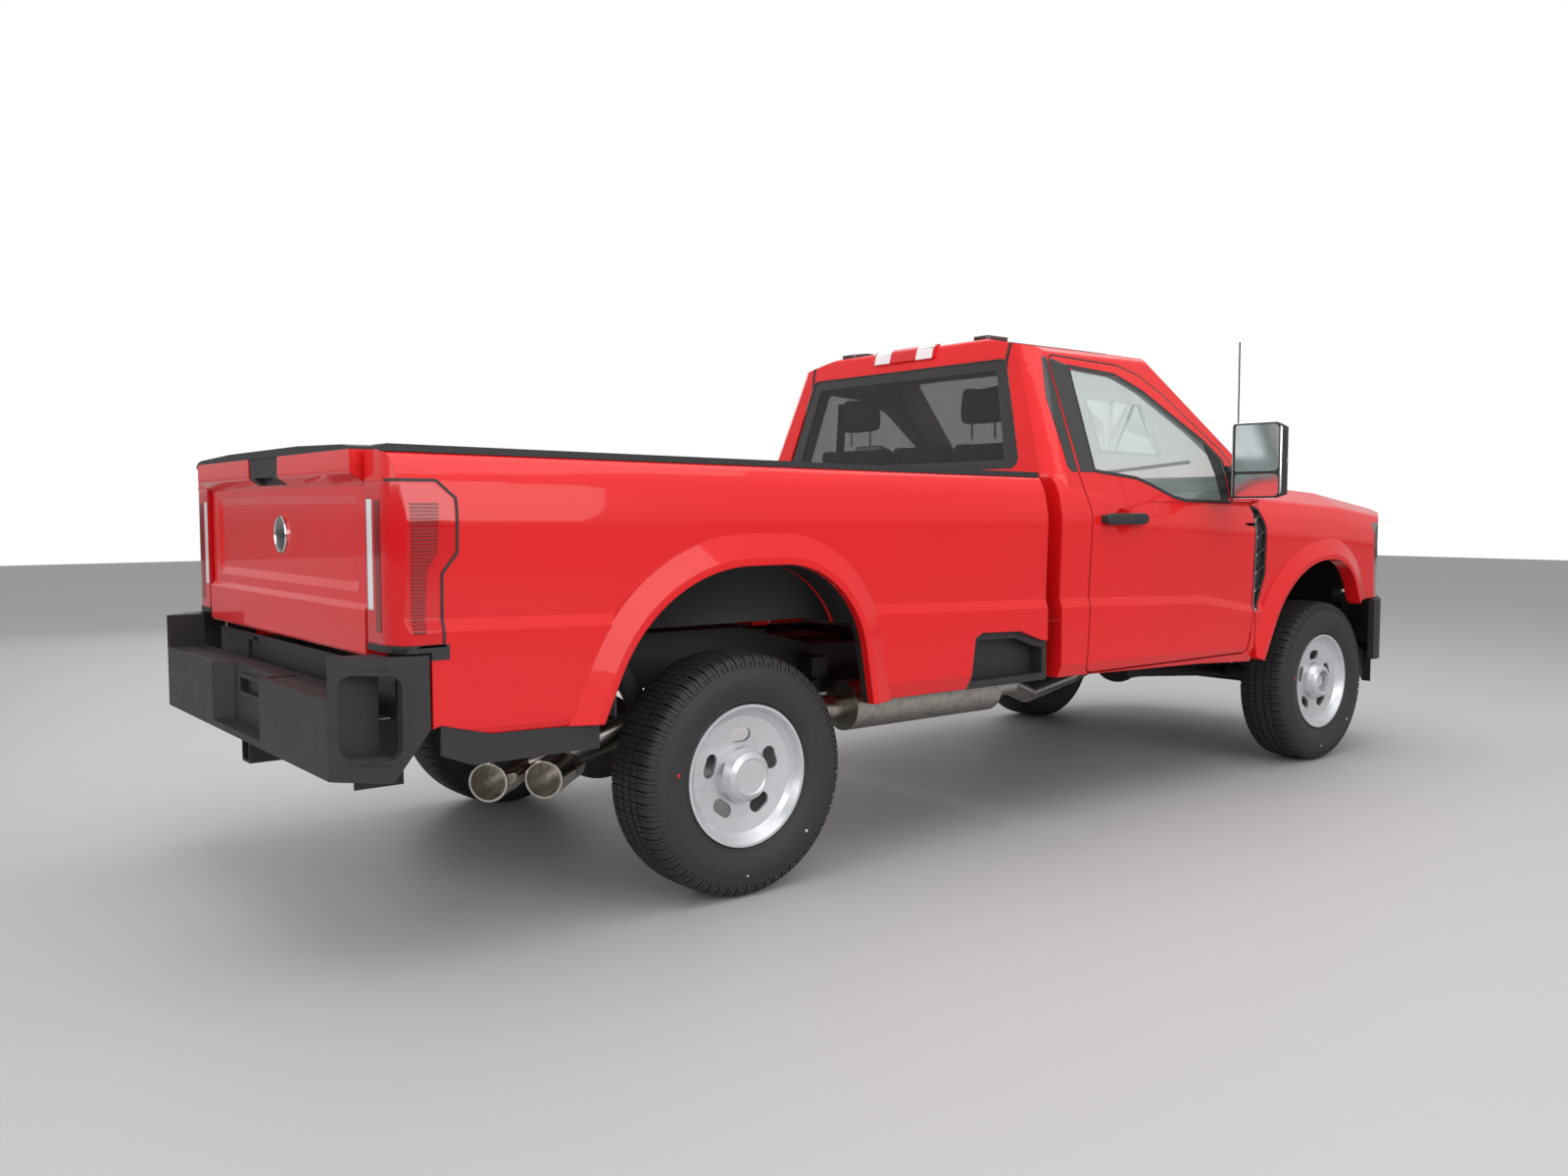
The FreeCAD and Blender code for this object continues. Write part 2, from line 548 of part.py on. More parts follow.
def bed_step():
    """The right step box let into the bedside ahead of the rear wheel."""
    low = size.shoulder_height * HEIGHT_SHARES[1][0]
    front = -side_half_width + size.step_face_setback
    back = -side_half_width + size.step_depth
    above_foot = block(-half_length, half_length, outside, 0, low, size.shoulder_height)
    whole = prism("y", front, back, body_points(STEP_SHARES)).common(above_foot)
    mouth_floor = block(-half_length, half_length, outside, 0, low + size.step_wall, size.shoulder_height)
    points = body_points(STEP_SHARES)
    mouth = rounded_wire(points, [0] * len(points), placed("y", front - far)).makeOffset2D(-size.step_wall)
    hollow = Part.Face(mouth).extrude(ALONG_Y * float(far + back - front - size.step_wall))
    return whole.cut(hollow.common(mouth_floor))


def reverse_lens_space():
    """The upright slot in the right tail lamp's rear face for the reversing lens."""
    inner = -tail_lamp_inner_half - size.panel_gap
    low, high = [size.shoulder_height * share for share in REVERSE_LENS_SHARES]
    return block(-half_length, -tailgate_rear + size.reverse_lens_depth, inner - size.reverse_lens_width,
                 inner,
                 low, high)


def tail_lamp_form():
    side = outer_body.common(block(-half_length, 0, outside, 0, 0, size.shoulder_height))
    return side.common(tail_lamp_space())


def tail_lamp():
    return tail_lamp_form().cut(reverse_lens_space())


def reverse_lens():
    return tail_lamp_form().common(reverse_lens_space())


REVERSE_LENS_SHARES = (0.695, 0.905)


def rail_cap():
    """The moulding along the top of the right bedside."""
    drop = HEIGHT_SHARES[0][-1] - HEIGHT_SHARES[1][-1]
    run = (STATION_SHARES[1] - STATION_SHARES[0]) * half_length
    top_front = size.shoulder_height * (HEIGHT_SHARES[0][-1] - drop * (run - bed_front_edge) / run)
    rear = -tailgate_rear
    points = [(rear, size.shoulder_height - size.rail_cap_height),
              (-bed_front_edge, top_front - size.rail_cap_height),
              (-bed_front_edge, top_front + size.rail_cap_height),
              (rear, size.shoulder_height + size.rail_cap_height)]
    radii = [0, 0, size.rail_cap_height / 2, size.rail_cap_height]
    return prism("y", -bed_inside_half - size.rail_cap_width, -bed_inside_half, points,
                 radii).cut(outer_body)


def bed_valance():
    """The dark panel under the right bedside between the bumper and the rear wheel."""
    points = [(along, up - size.seat_clearance) for along, up in body_points(VALANCE_SHARES)]
    outer = -side_half_width + size.valance_setback
    return prism("y", outer, outer + size.valance_thickness, points)


VALANCE_SHARES = ((-0.911, 0.478), (-0.862, 0.452), (-0.745, 0.445), (-0.745, 0.395), (-0.88, 0.395),
                  (-0.911, 0.42))


def tailgate_form():
    """The gate's whole section: ridge low down, set-back panel and overhanging top edge."""
    front = -tailgate_rear + size.tailgate_thickness
    low = bed_floor_top - size.tailgate_floor_gap - size.bed_floor_thickness
    top = size.shoulder_height
    panel = -tailgate_rear + size.gate_panel_setback
    lip = -tailgate_rear - size.gate_lip_reach
    profile = [(front, low), (-tailgate_rear, low), (-tailgate_rear, low + size.gate_ridge_height),
               (panel, low + size.gate_ridge_height + size.gate_ridge_rise),
               (panel, top - size.gate_lip_height),
               (lip, top - size.gate_lip_height * 2 / 3), (lip, top), (front, top)]
    radii = [0, size.gate_ridge_rise, size.gate_ridge_rise / 2, size.gate_ridge_rise / 2, 0,
             size.gate_ridge_rise, 0, 0]
    return prism("y", -tailgate_half_width, tailgate_half_width, profile, radii)


def gate_recess():
    """The shallow tray with sloped borders in the gate's outer face."""
    face = -tailgate_rear + size.gate_panel_setback
    low, high = [size.shoulder_height * share for share in GATE_RECESS_HEIGHT_SHARES]
    half = tailgate_half_width * GATE_RECESS_WIDTH_SHARE
    wires = []
    for draw in (-1, 1):
        level = face + size.gate_recess_depth * draw
        border = size.gate_recess_slope * draw
        corners = [(-half + border, low + border), (half - border, low + border),
                   (half - border, high - border),
                   (-half + border, high - border)]
        wires.append(rounded_wire(corners, [size.gate_recess_slope] * len(corners), placed("x", level)))
    return Part.makeLoft(wires, True, True)


GATE_RECESS_HEIGHT_SHARES = (0.724, 0.915)
GATE_RECESS_WIDTH_SHARE = 0.9


def tailgate():
    """The gate with its tray, the seat for its handle and its two hinge pins."""
    front = -tailgate_rear + size.tailgate_thickness
    low = bed_floor_top - size.tailgate_floor_gap - size.bed_floor_thickness
    gate = tailgate_form().cut(gate_recess()).cut(gate_handle_space())
    wide = size.gate_hinge_width / 2
    slot = wide + size.panel_gap
    reach = size.gate_knuckle_diameter / 2 + size.panel_gap
    for side in (-1, 1):
        middle = size.gate_hinge_half * side
        gate = gate.cut(block(gate_hinge_x - reach, front + far, middle - slot, middle + slot, low - far,
                              gate_hinge_z + reach))
        pin = rod(vector(gate_hinge_x, middle - slot - wide, gate_hinge_z),
                  vector(gate_hinge_x, middle + slot + wide, gate_hinge_z), size.gate_pin_diameter)
        gate = gate.fuse(pin)
    return gate.removeSplitter()


def gate_handle_space():
    """The tapering seat of the handle in the middle of the gate's top edge."""
    top = size.shoulder_height
    low = top - size.gate_lip_height * GATE_HANDLE_DROP_SHARE
    half = size.gate_handle_half
    points = [(-half + size.gate_handle_taper, low), (half - size.gate_handle_taper, low),
              (half, top + far),
              (-half, top + far)]
    return prism("x", -half_length, -tailgate_rear + size.gate_panel_setback, points)


GATE_HANDLE_DROP_SHARE = 0.9


def tailgate_handle():
    """The handle with its finger pocket, which fills the seat."""
    low = size.shoulder_height - size.gate_lip_height
    handle = tailgate_form().common(gate_handle_space())
    face = -tailgate_rear - size.gate_lip_reach
    pocket = block(face - far, -tailgate_rear, -size.finger_pocket_half, size.finger_pocket_half, low,
                   low + size.finger_pocket_height)
    return handle.cut(pocket).cut(block(-half_length, face + size.gate_handle_setback, outside, -outside,
                                        0, overall_length))


def tailgate_cap():
    """The crowned moulding along the gate's top edge."""
    half = tailgate_half_width
    points = [(half * across, size.shoulder_height + size.gate_cap_rise * up) for across,
              up in GATE_CAP_SHARES]
    points = points + [(-across, up) for across, up in reversed(points)]
    return prism("x", -tailgate_rear - size.gate_lip_reach, -tailgate_rear + size.tailgate_thickness,
                 points)


GATE_CAP_SHARES = ((1.0, 0.0), (1.0, 0.3), (0.93, 0.6), (0.45, 1.0))


gate_hinge_x = -tailgate_rear + size.gate_hinge_setback
gate_hinge_z = bed_floor_top - size.gate_hinge_drop


def gate_lug(middle):
    """One of the floor's rear lugs, with the bore for the gate's pin."""
    half = size.gate_hinge_width / 2
    knuckle = rod(vector(gate_hinge_x, middle - half, gate_hinge_z),
                  vector(gate_hinge_x, middle + half, gate_hinge_z),
                  size.gate_knuckle_diameter)
    arm = block(gate_hinge_x, bed_rear, middle - half, middle + half,
                bed_floor_bottom - size.bed_sill_depth / 4, gate_hinge_z + size.gate_knuckle_diameter / 4)
    bore = rod(vector(gate_hinge_x, middle - size.gate_hinge_width, gate_hinge_z),
               vector(gate_hinge_x, middle + size.gate_hinge_width, gate_hinge_z),
               size.gate_pin_diameter + size.pin_clearance * 2)
    return knuckle.fuse(arm).cut(bore)


# Cab, doors and glass

def door_prism(grow):
    return right_side_prism(side_outline(DOOR_SHARES, DOOR_RADIUS_SHARES, outside, grow))


def window_prism(grow=0):
    return right_side_prism(side_outline(WINDOW_SHARES, WINDOW_RADIUS_SHARES, outside, grow))


def upper_and_lower(inset):
    """The whole cab's solid form, drawn in by an inset."""
    if not inset:
        return outer_body.fuse(outer_cabin)
    return body_block(inset).fuse(cabin_block(inset))


cab_form = upper_and_lower(0)
cab_inside = upper_and_lower(size.cab_wall)
recess_form = upper_and_lower(door_recess_depth)
skin_inside = upper_and_lower(size.door_skin_depth)
belt_height = size.shoulder_height * WINDOW_SHARES[6][1]


def cab_shell():
    rear, front = -cab_rear_edge, door_front
    body_part = block(rear, front, outside, -outside, 0, overall_length)
    cowl_part = block(rear, half_length, outside, -outside, belt_height, overall_length)
    form = outer_body.common(body_part).fuse(outer_cabin.common(cowl_part))
    hollow_box = block(rear + size.cab_wall, cab_front_edge, outside, -outside,
                       size.cab_floor_top, overall_length)
    shell = form.cut(cab_inside.common(hollow_box))
    half_inside = side_half_width - size.rocker_width
    shell = shell.cut(block(rear - far, front + far, -half_inside, half_inside, 0,
                            size.cab_floor_top - size.cab_floor_thickness))
    pillar = block(hinge_x - size.hinge_pocket, front, -hinge_y + size.hinge_pocket,
                   -hinge_y + size.hinge_pillar_depth, size.cab_floor_top - size.cab_floor_thickness,
                   belt_height)
    shell = shell.fuse(pillar).fuse(mirrored(pillar))
    recess = door_prism(size.panel_gap).cut(recess_form)
    aperture = door_prism(-size.door_flange + size.door_inner_gap)
    pocket = door_prism(size.panel_gap).common(block(hinge_x - size.hinge_pocket, half_length, outside,
                                                     -hinge_y + size.hinge_pocket, 0,
                                                     belt_height + size.hinge_pocket))
    corner = door_prism(size.panel_gap * 2).common(block(hinge_x, half_length, outside,
                                                         -hinge_y + size.hinge_pocket,
                                                         0, size.hinge_low - size.panel_gap * 2))
    for opening in (recess, aperture.common(right_side_band()), pocket, corner):
        shell = shell.cut(opening).cut(mirrored(opening))
    leaves = [hinge_leaf(low) for low in (size.hinge_low, size.hinge_high)]
    leaves += [mirrored(leaf) for leaf in leaves]
    return shell.cut(windshield_space()).cut(rear_window_space()).multiFuse(leaves).removeSplitter()


def hinge_leaf(low):
    """A cranked hinge leaf from the right front pillar out to the door's hinge line."""
    half = size.hinge_leaf_thickness / 2
    high = low + size.hinge_leaf_height
    inner = -hinge_y + size.hinge_pocket
    knuckle = rod(vector(hinge_x, -hinge_y, low), vector(hinge_x, -hinge_y, high),
                  size.door_knuckle_diameter)
    neck = block(hinge_x - half, hinge_x + half, -hinge_y, inner + half, low, high)
    root = block(hinge_x - half, door_front - size.door_flange / 4, inner - half, inner + half, low, high)
    bore = rod(vector(hinge_x, -hinge_y, low - far), vector(hinge_x, -hinge_y, high + far),
               size.door_pin_diameter + size.pin_clearance * 2)
    return joined([knuckle, neck, root]).cut(bore)


def hinge_notch(low):
    """The gap in the right door's edge that one leaf needs as the door swings."""
    gap = size.panel_gap
    back = hinge_x - size.hinge_leaf_thickness / 2 - gap
    outer = -hinge_y - size.door_knuckle_diameter / 2 - gap / 3
    return block(back, door_front + gap, outer, -hinge_y + size.hinge_pocket * 2, low - gap,
                 low + size.hinge_leaf_height + gap)


def hinge_pin(low):
    """The right door's pin through one leaf."""
    reach = size.panel_gap * 2
    return rod(vector(hinge_x, -hinge_y, low - reach),
               vector(hinge_x, -hinge_y, low + size.hinge_leaf_height + reach), size.door_pin_diameter)


def right_side_band():
    """The right half of the cab outboard of the seats, where the door opening is cut."""
    return block(-half_length, half_length, outside, -side_half_width / 2, 0, overall_length)


WINDSHIELD_SHARES = ((-0.86, 0.99), (-0.70, 1.355), (0.70, 1.355), (0.86, 0.99))
REAR_WINDOW_SHARES = ((-0.76, 1.0), (-0.62, 1.325), (0.62, 1.325), (0.76, 1.0))


def windshield_space():
    points = [(side_half_width * across, size.shoulder_height * up) for across, up in WINDSHIELD_SHARES]
    radii = [size.window_corner] * len(points)
    return prism("x", cab_front_edge / 2, half_length, points, radii)


def rear_window_space():
    points = [(side_half_width * across, size.shoulder_height * up) for across, up in REAR_WINDOW_SHARES]
    radii = [size.window_corner] * len(points)
    return prism("x", -half_length, cab_rear_edge, points, radii)


def glass_layer():
    """A pane-thick layer just inside the cabin's outer form."""
    return cabin_block(size.glass_setback).cut(cabin_block(size.glass_setback + size.glass_thickness))


pane_layer = glass_layer()


def windshield():
    return pane_layer.common(windshield_space())


def rear_window():
    return pane_layer.common(rear_window_space())


def door():
    """The right door: skin, inner box and window frame in one."""
    outline = door_prism(0)
    skin = outline.common(cab_form).cut(skin_inside)
    skin = skin.common(right_side_band())
    box_outline = door_prism(-size.door_flange)
    below_belt = block(-half_length, half_length, outside, 0, 0, belt_height - size.panel_gap)
    depth_limit = block(-half_length, half_length, outside, -side_half_width + size.door_depth, 0,
                        overall_length)
    inner_box = box_outline.common(skin_inside).common(below_belt).common(depth_limit)
    panel = skin.fuse(inner_box).cut(window_prism()).cut(handle_dish())
    for low in (size.hinge_low, size.hinge_high):
        panel = panel.cut(hinge_notch(low)).fuse(hinge_pin(low))
    return panel.removeSplitter()


def handle_dish():
    """The round hollow in the right door's skin behind its handle."""
    [(along, up)] = side_points(HANDLE_SHARES)
    skin = -side_half_width * HANDLE_SKIN_SHARE
    return Part.makeSphere(size.dish_radius, vector(along, skin + size.dish_depth - size.dish_radius, up))


HANDLE_SHARES = ((0.18, 0.853),)
HANDLE_SKIN_SHARE = 0.985


def door_glass():
    return pane_layer.common(window_prism()).common(right_side_band())


# Front end

def hood():
    form = outer_body.cut(body_block(size.hood_depth))
    half = hood_half_width
    region = block(hood_rear_edge, hood_front_edge, -half, half, size.hood_lowest, overall_length)
    pins = rod(vector(hood_hinge_x, -half - size.hood_pin_reach, hood_hinge_height),
               vector(hood_hinge_x, half + size.hood_pin_reach, hood_hinge_height), size.hood_pin_diameter)
    inner_half = half - size.hood_pin_reach
    middle = block(hood_rear_edge, hood_front_edge, -inner_half, inner_half, 0, overall_length)
    radius = size.hood_pin_diameter / 2
    ears = block(hood_hinge_x - radius, hood_hinge_x + size.hood_pin_reach, -half, half,
                 hood_hinge_height - radius, overall_length)
    hinges = pins.fuse(ears.common(outer_body)).cut(middle)
    return form.common(region).fuse(hinges).removeSplitter()


def fender():
    """The right front fender with its flare."""
    form = outer_body.cut(body_block(size.skin_depth))
    rear = door_front + size.panel_gap
    region = block(rear, fender_front_edge, outside, -hood_half_width - size.panel_gap,
                   0, overall_length)
    skin = form.common(region)
    lip = flare(front_arch).common(region)
    foot = prism("y", outside, 0, body_points(FENDER_FOOT_SHARES))
    skin = skin.fuse(lip).cut(right_side_prism(front_arch(outside))).cut(foot)
    tab_high = size.fender_tab_low + size.fender_tab_height
    tab_back = door_front + size.seat_clearance
    tab_front = door_front + size.fender_tab_length
    tab_inner = -hinge_y + size.hinge_pillar_depth / 2
    tab = block(tab_back, tab_front, tab_inner - size.skin_depth, tab_inner, size.fender_tab_low, tab_high)
    root = block(tab_front - size.skin_depth, tab_front,
                 -side_half_width + size.skin_depth / 2 + size.hinge_inset,
                 tab_inner, size.fender_tab_low, tab_high)
    tab = tab.fuse(root)
    bore = rod(vector(hood_hinge_x, outside, hood_hinge_height), vector(hood_hinge_x, 0, hood_hinge_height),
               size.hood_pin_diameter + size.pin_clearance * 2)
    reach = hood_half_width + size.hood_pin_reach + size.panel_gap
    bore = bore.common(block(0, half_length, -reach, 0, 0, overall_length))
    skin = skin.cut(headlamp_space()).cut(cabin_block(-size.panel_gap)).cut(bore).cut(vent_space(0))
    return skin.fuse(tab).removeSplitter()


FENDER_FOOT_SHARES = ((0.4, 0.0), (0.4, 0.425), (0.467, 0.385), (0.70, 0.3), (0.775, 0.557),
                      (1.0, 0.557), (1.0, 0.0))
HEADLAMP_SHARES = ((0.85, 0.57), (0.835, 0.83), (0.99, 0.83), (0.99, 0.57))


def vent_space(draw):
    """The opening behind the right door's edge that the vent fills, drawn in."""
    points = body_points(VENT_SHARES)
    radii = [size.shoulder_height * share for share in VENT_RADIUS_SHARES]
    wire = rounded_wire(points, radii, placed("y", outside))
    if draw:
        wire = wire.makeOffset2D(-draw)
    return Part.Face(wire).extrude(ALONG_Y * float(side_half_width / 2))


def fender_vent():
    """The right fender's vent: a set-back bed with slanted fins and an upright rim."""
    opening = vent_space(size.seat_clearance)
    rear = door_front + size.panel_gap + size.seat_clearance
    ahead = block(rear, half_length, outside, 0, 0, overall_length)
    bed = body_block(size.vent_bed_depth).cut(body_block(size.vent_bed_depth + size.vent_bed_thickness))
    raised = body_block(size.vent_face_setback).cut(body_block(size.vent_bed_depth))
    pieces = [bed.common(opening)]
    pieces.append(raised.common(opening.cut(vent_space(size.vent_fin_height))))
    low, high = size.shoulder_height * VENT_SHARES[-1][1], size.shoulder_height * VENT_SHARES[0][1]
    pitch = (high - low) / VENT_FINS
    for index in range(1, VENT_FINS):
        level = low + pitch * index
        start = half_length * VENT_SHARES[0][0]
        end = half_length * VENT_SHARES[2][0]
        slat = prism("y", outside, 0, [(start, level), (end, level + pitch / 2),
                                       (end, level + pitch / 2 + size.vent_fin_height),
                                       (start, level + size.vent_fin_height)])
        pieces.append(raised.common(opening).common(slat))
    return joined(pieces).common(ahead)


VENT_SHARES = ((0.4455, 0.897), (0.466, 0.885), (0.4796, 0.83), (0.4803, 0.668), (0.4569, 0.549),
               (0.4455, 0.549))
VENT_RADIUS_SHARES = (0, 0.014, 0.035, 0.05, 0.01, 0)
VENT_FINS = 6


def headlamp_space():
    return prism("y", outside, -grille_half_width, body_points(HEADLAMP_SHARES))


def headlamp():
    form = outer_body.cut(body_block(size.skin_depth * 2))
    return form.common(headlamp_space())


def grille():
    """A rounded frame with broad bars across it and thin ribs behind them."""
    half = grille_half_width - size.panel_gap
    front = half_length - size.grille_front_setback
    back = front - size.grille_depth
    bar = size.grille_bar_height
    outline = [(-half, size.grille_bottom), (half, size.grille_bottom), (half, size.grille_top),
               (-half, size.grille_top)]
    whole = prism("x", back, front, outline, [size.grille_corner] * len(outline))
    pitch = (size.grille_top - size.grille_bottom - bar) / GRILLE_OPENINGS
    for index in range(GRILLE_OPENINGS):
        low = size.grille_bottom + bar + pitch * index
        mouth = [(-half + bar, low), (half - bar, low), (half - bar, low + pitch - bar),
                 (-half + bar, low + pitch - bar)]
        whole = whole.cut(prism("x", back + size.rim_wall, front + far, mouth, [bar / 3] * len(mouth)))
    inner = size.grille_top - bar
    spacing = (half - bar) * 2 / GRILLE_RIBS
    ribs = []
    for index in range(1, GRILLE_RIBS):
        middle = -half + bar + spacing * index
        ribs.append(block(back + size.rim_wall / 2, back + size.grille_depth / 2,
                          middle - size.grille_rib_width / 2,
                          middle + size.grille_rib_width / 2, size.grille_bottom + bar / 2,
                          inner + bar / 2))
    return joined([whole] + ribs)


GRILLE_RIBS = 12


GRILLE_OPENINGS = 4


def front_bumper():
    """The bumper's wrapped face, open behind."""
    inset = size.bumper_wall
    band = block(front_axle_x, half_length + far, outside, -outside, size.front_bumper_bottom,
                 size.front_bumper_top)
    face = bumper_plan(0).cut(bumper_plan(inset)).common(band)
    dam_band = block(front_axle_x + size.air_dam_reach, half_length, outside, -outside, size.air_dam_bottom,
                     size.front_bumper_bottom + inset)
    dam = bumper_plan(inset - size.seat_clearance).cut(bumper_plan(inset * 2)).common(dam_band)
    return joined([face, dam])


FRONT_BUMPER_SHARES = ((0.845, -1.0), (0.965, -0.80), (1.0, -0.55))
FRONT_BUMPER_RADIUS_SHARES = (0, 0.07, 0.07, 0.1)


def bumper_plan(inset):
    half = size.body_width / 2
    right = [(half_length * along - inset, half * across + inset) for along, across in FRONT_BUMPER_SHARES]
    right = [(front_axle_x + size.front_bumper_reach - inset, right[0][1])] + right
    left = [(along, -across) for along, across in reversed(right)]
    radii = [half_length * share for share in FRONT_BUMPER_RADIUS_SHARES]
    return prism("z", 0, size.shoulder_height, right + left, radii + radii[::-1])


REAR_BUMPER_PLAN_SHARES = ((1.0, 0.868), (0.961, 0.985), (0.9212, 0.9885))
REAR_BUMPER_RADIUS_SHARES = (0.014, 0.02, 0)


def bumper_outline(low, high):
    """The step bumper's outline seen from above, with swept corners, between two heights."""
    right = [(-half_length * along, -side_half_width * across) for along, across in REAR_BUMPER_PLAN_SHARES]
    radii = [half_length * share for share in REAR_BUMPER_RADIUS_SHARES]
    left = [(along, -across) for along, across in reversed(right)]
    return prism("z", low, high, right + left, radii + radii[::-1])


def rear_bumper():
    """The step bumper: pads with trays, raised corners with a step in each, and the
    recess for a plate with a socket panel in it."""
    back, front = -half_length, -tailgate_rear - size.panel_gap
    pad_top, bottom = size.rear_bumper_pad_top, size.rear_bumper_bottom
    corner_half = side_half_width - size.rear_bumper_corner_inset
    between = block(back - far, 0, -corner_half, corner_half, pad_top, size.rear_bumper_top + far)
    whole = bumper_outline(bottom, size.rear_bumper_top).cut(between)
    inner = -side_half_width * REAR_BUMPER_PLAN_SHARES[-1][1] + size.bumper_wall
    whole = whole.cut(block(front, 0, inner, -inner, 0, size.rear_bumper_top + far))
    under = prism("y", outside, -outside, [(front, bottom), (-rear_bumper_wrap_front + far, bottom - far),
                                           (-rear_bumper_wrap_front, size.rear_bumper_side_bottom)])
    wall = back + size.plate_recess_depth + size.bumper_wall
    hollow = block(wall, front + far, -corner_half + size.panel_gap * 2, corner_half - size.panel_gap * 2,
                   bottom - far,
                   pad_top - size.bumper_wall)
    whole = whole.cut(under).cut(hollow)
    half = size.plate_recess_half
    recess = [(back - far, -half), (back, -half),
              (back + size.plate_recess_depth, -half + size.plate_recess_taper),
              (back + size.plate_recess_depth, half - size.plate_recess_taper), (back, half),
              (back - far, half)]
    whole = whole.cut(prism("z", size.plate_recess_floor, pad_top + far,
                            recess)).fuse(socket_rim()).cut(socket_mouth())
    for side in (-1, 1):
        whole = whole.cut(pad_tray(side)).cut(corner_step(side))
    return whole.removeSplitter()


def socket_rim():
    """The raised frame round the sockets in the plate recess."""
    face = -half_length + size.plate_recess_depth
    return block(face - size.socket_rim, face, -size.socket_half, size.socket_half, size.socket_low,
                 size.socket_low + size.socket_height)


def socket_mouth():
    """The mouth inside that frame."""
    face = -half_length + size.plate_recess_depth
    rim = size.socket_rim
    low, high = size.socket_low + rim, size.socket_low + size.socket_height - rim
    half = size.socket_half - rim
    points = [(-half, low), (half, low), (half, high), (-half, high)]
    return prism("x", face - far, face + rim, points, [rim / 2] * len(points))


def pad_tray(side):
    """The sunken bed of the tread pad on one side of the bumper's top."""
    border = size.pad_tray_border
    inner = size.plate_recess_half + border
    outer = side_half_width - size.rear_bumper_corner_inset - border
    limits = sorted((float(inner * side), float(outer * side)))
    back, front = -half_length + border, -tailgate_rear - size.panel_gap - border * 2
    top = size.rear_bumper_pad_top
    return block(back, front, limits[0], limits[1], top - size.pad_tray_depth, top + far)


def corner_step(side):
    """The toe opening in one end of the bumper."""
    low, high = size.corner_step_low, size.corner_step_high
    back, front = [-half_length * share for share in CORNER_STEP_SHARES]
    points = [(back, low), (front, low), (front, high), (back, high)]
    opening = prism("y", outside, -side_half_width + size.corner_step_inset, points,
                    [size.corner_step_radius] * len(points))
    return opening if side < 0 else mirrored(opening)


CORNER_STEP_SHARES = (0.9935, 0.9475)


# Frame and running gear

def frame_rail():
    """The right frame rail: a channel that kicks up over the rear axle."""
    low, high = size.rail_mid_bottom, size.rail_mid_bottom + size.rail_height
    kick = bed_floor_bottom - size.bed_sill_depth - high
    flange = size.rail_web
    outer = -size.rail_outer_half

    def outline(shrink):
        top = [(along * half_length, high + rise * kick - shrink) for along, rise in FRAME_RAIL_SHARES]
        bottom = [(along * half_length, low + rise * kick + shrink) for along,
                  rise in reversed(FRAME_RAIL_SHARES)]
        return top + bottom

    rail = prism("y", outer, outer + size.rail_width, outline(0))
    channel = prism("y", outer + flange, outer + size.rail_width + flange, outline(flange))
    return rail.cut(channel)


FRAME_RAIL_SHARES = ((-0.94, 0.92), (-0.70, 1.0), (-0.44, 1.0), (-0.32, 0.35), (0.35, 0.0), (0.93, 0.1))
CROSSMEMBER_SHARES = (-0.88, -0.42, -0.08, 0.12, 0.86)


def ladder_frame():
    pieces = [frame_rail(), mirrored(frame_rail())]
    web = size.rail_outer_half - size.rail_web
    for share in CROSSMEMBER_SHARES:
        middle = half_length * share
        rise = rail_rise(share)
        low = size.rail_mid_bottom + rise + size.rail_height - size.crossmember_size
        pieces.append(block(middle, middle + size.crossmember_size, -web, web, low,
                            low + size.crossmember_size))
    floor_low = size.cab_floor_top - size.cab_floor_thickness
    for along in CAB_MOUNT_SHARES:
        place = half_length * along
        base = size.rail_mid_bottom + size.rail_height / 2
        for side in (-1, 1):
            across = (size.rail_outer_half + size.cab_mount_diameter / 4) * side
            foot = vector(place, across, base)
            pieces.append(rod(foot, vector(place, across, floor_low), size.cab_mount_diameter))
    brackets = joined([front_horn(), rear_horn(), spring_perch()] + spring_hangers())
    return joined(pieces + [brackets, mirrored(brackets)])


def front_horn():
    """The right rail's end that carries the front bumper."""
    start = half_length * FRAME_RAIL_SHARES[-1][0]
    low = size.rail_mid_bottom + rail_rise(FRAME_RAIL_SHARES[-1][0])
    return block(start - size.rail_width, half_length - size.bumper_wall - size.seat_clearance,
                 -size.rail_outer_half,
                 -size.rail_outer_half + size.rail_width, low, low + size.rail_height / 2)


def rear_horn():
    """The right rail's end that carries the rear bumper."""
    back = -half_length + size.plate_recess_depth + size.bumper_wall + size.seat_clearance
    high = size.rear_bumper_pad_top - size.bumper_wall - size.seat_clearance
    return block(back, half_length * FRAME_RAIL_SHARES[0][0] + size.rail_width, -size.rail_outer_half,
                 -size.rail_outer_half + size.rail_width, high - size.rail_height / 2, high)


def spring_perch():
    """The bracket on the right rail that the front coil bears against."""
    low = wheel_height + size.axle_tube_diameter / 2 + size.coil_height + size.seat_clearance * 2
    half = size.coil_diameter / 2
    return block(front_axle_x - half, front_axle_x + half,
                 -size.rail_outer_half - size.coil_diameter - size.spring_gap,
                 -size.rail_outer_half + size.rail_web / 2, low, low + size.spring_gap)


def spring_hangers():
    """The brackets on the right rail that the leaf spring's ends bear against."""
    axle_top = wheel_height + (size.axle_tube_diameter + size.yoke_plate) / 2
    low = axle_top + size.spring_arch + size.spring_thickness + size.seat_clearance * 2
    brackets = []
    for side in (-1, 1):
        middle = rear_axle_x + size.spring_half_length * side
        brackets.append(block(middle - size.spring_width / 2, middle + size.spring_width / 2,
                              -size.rail_outer_half - size.spring_width - size.spring_gap,
                              -size.rail_outer_half + size.rail_web / 2, low, low + size.spring_width))
    return brackets


CAB_MOUNT_SHARES = (0.02, 0.36)


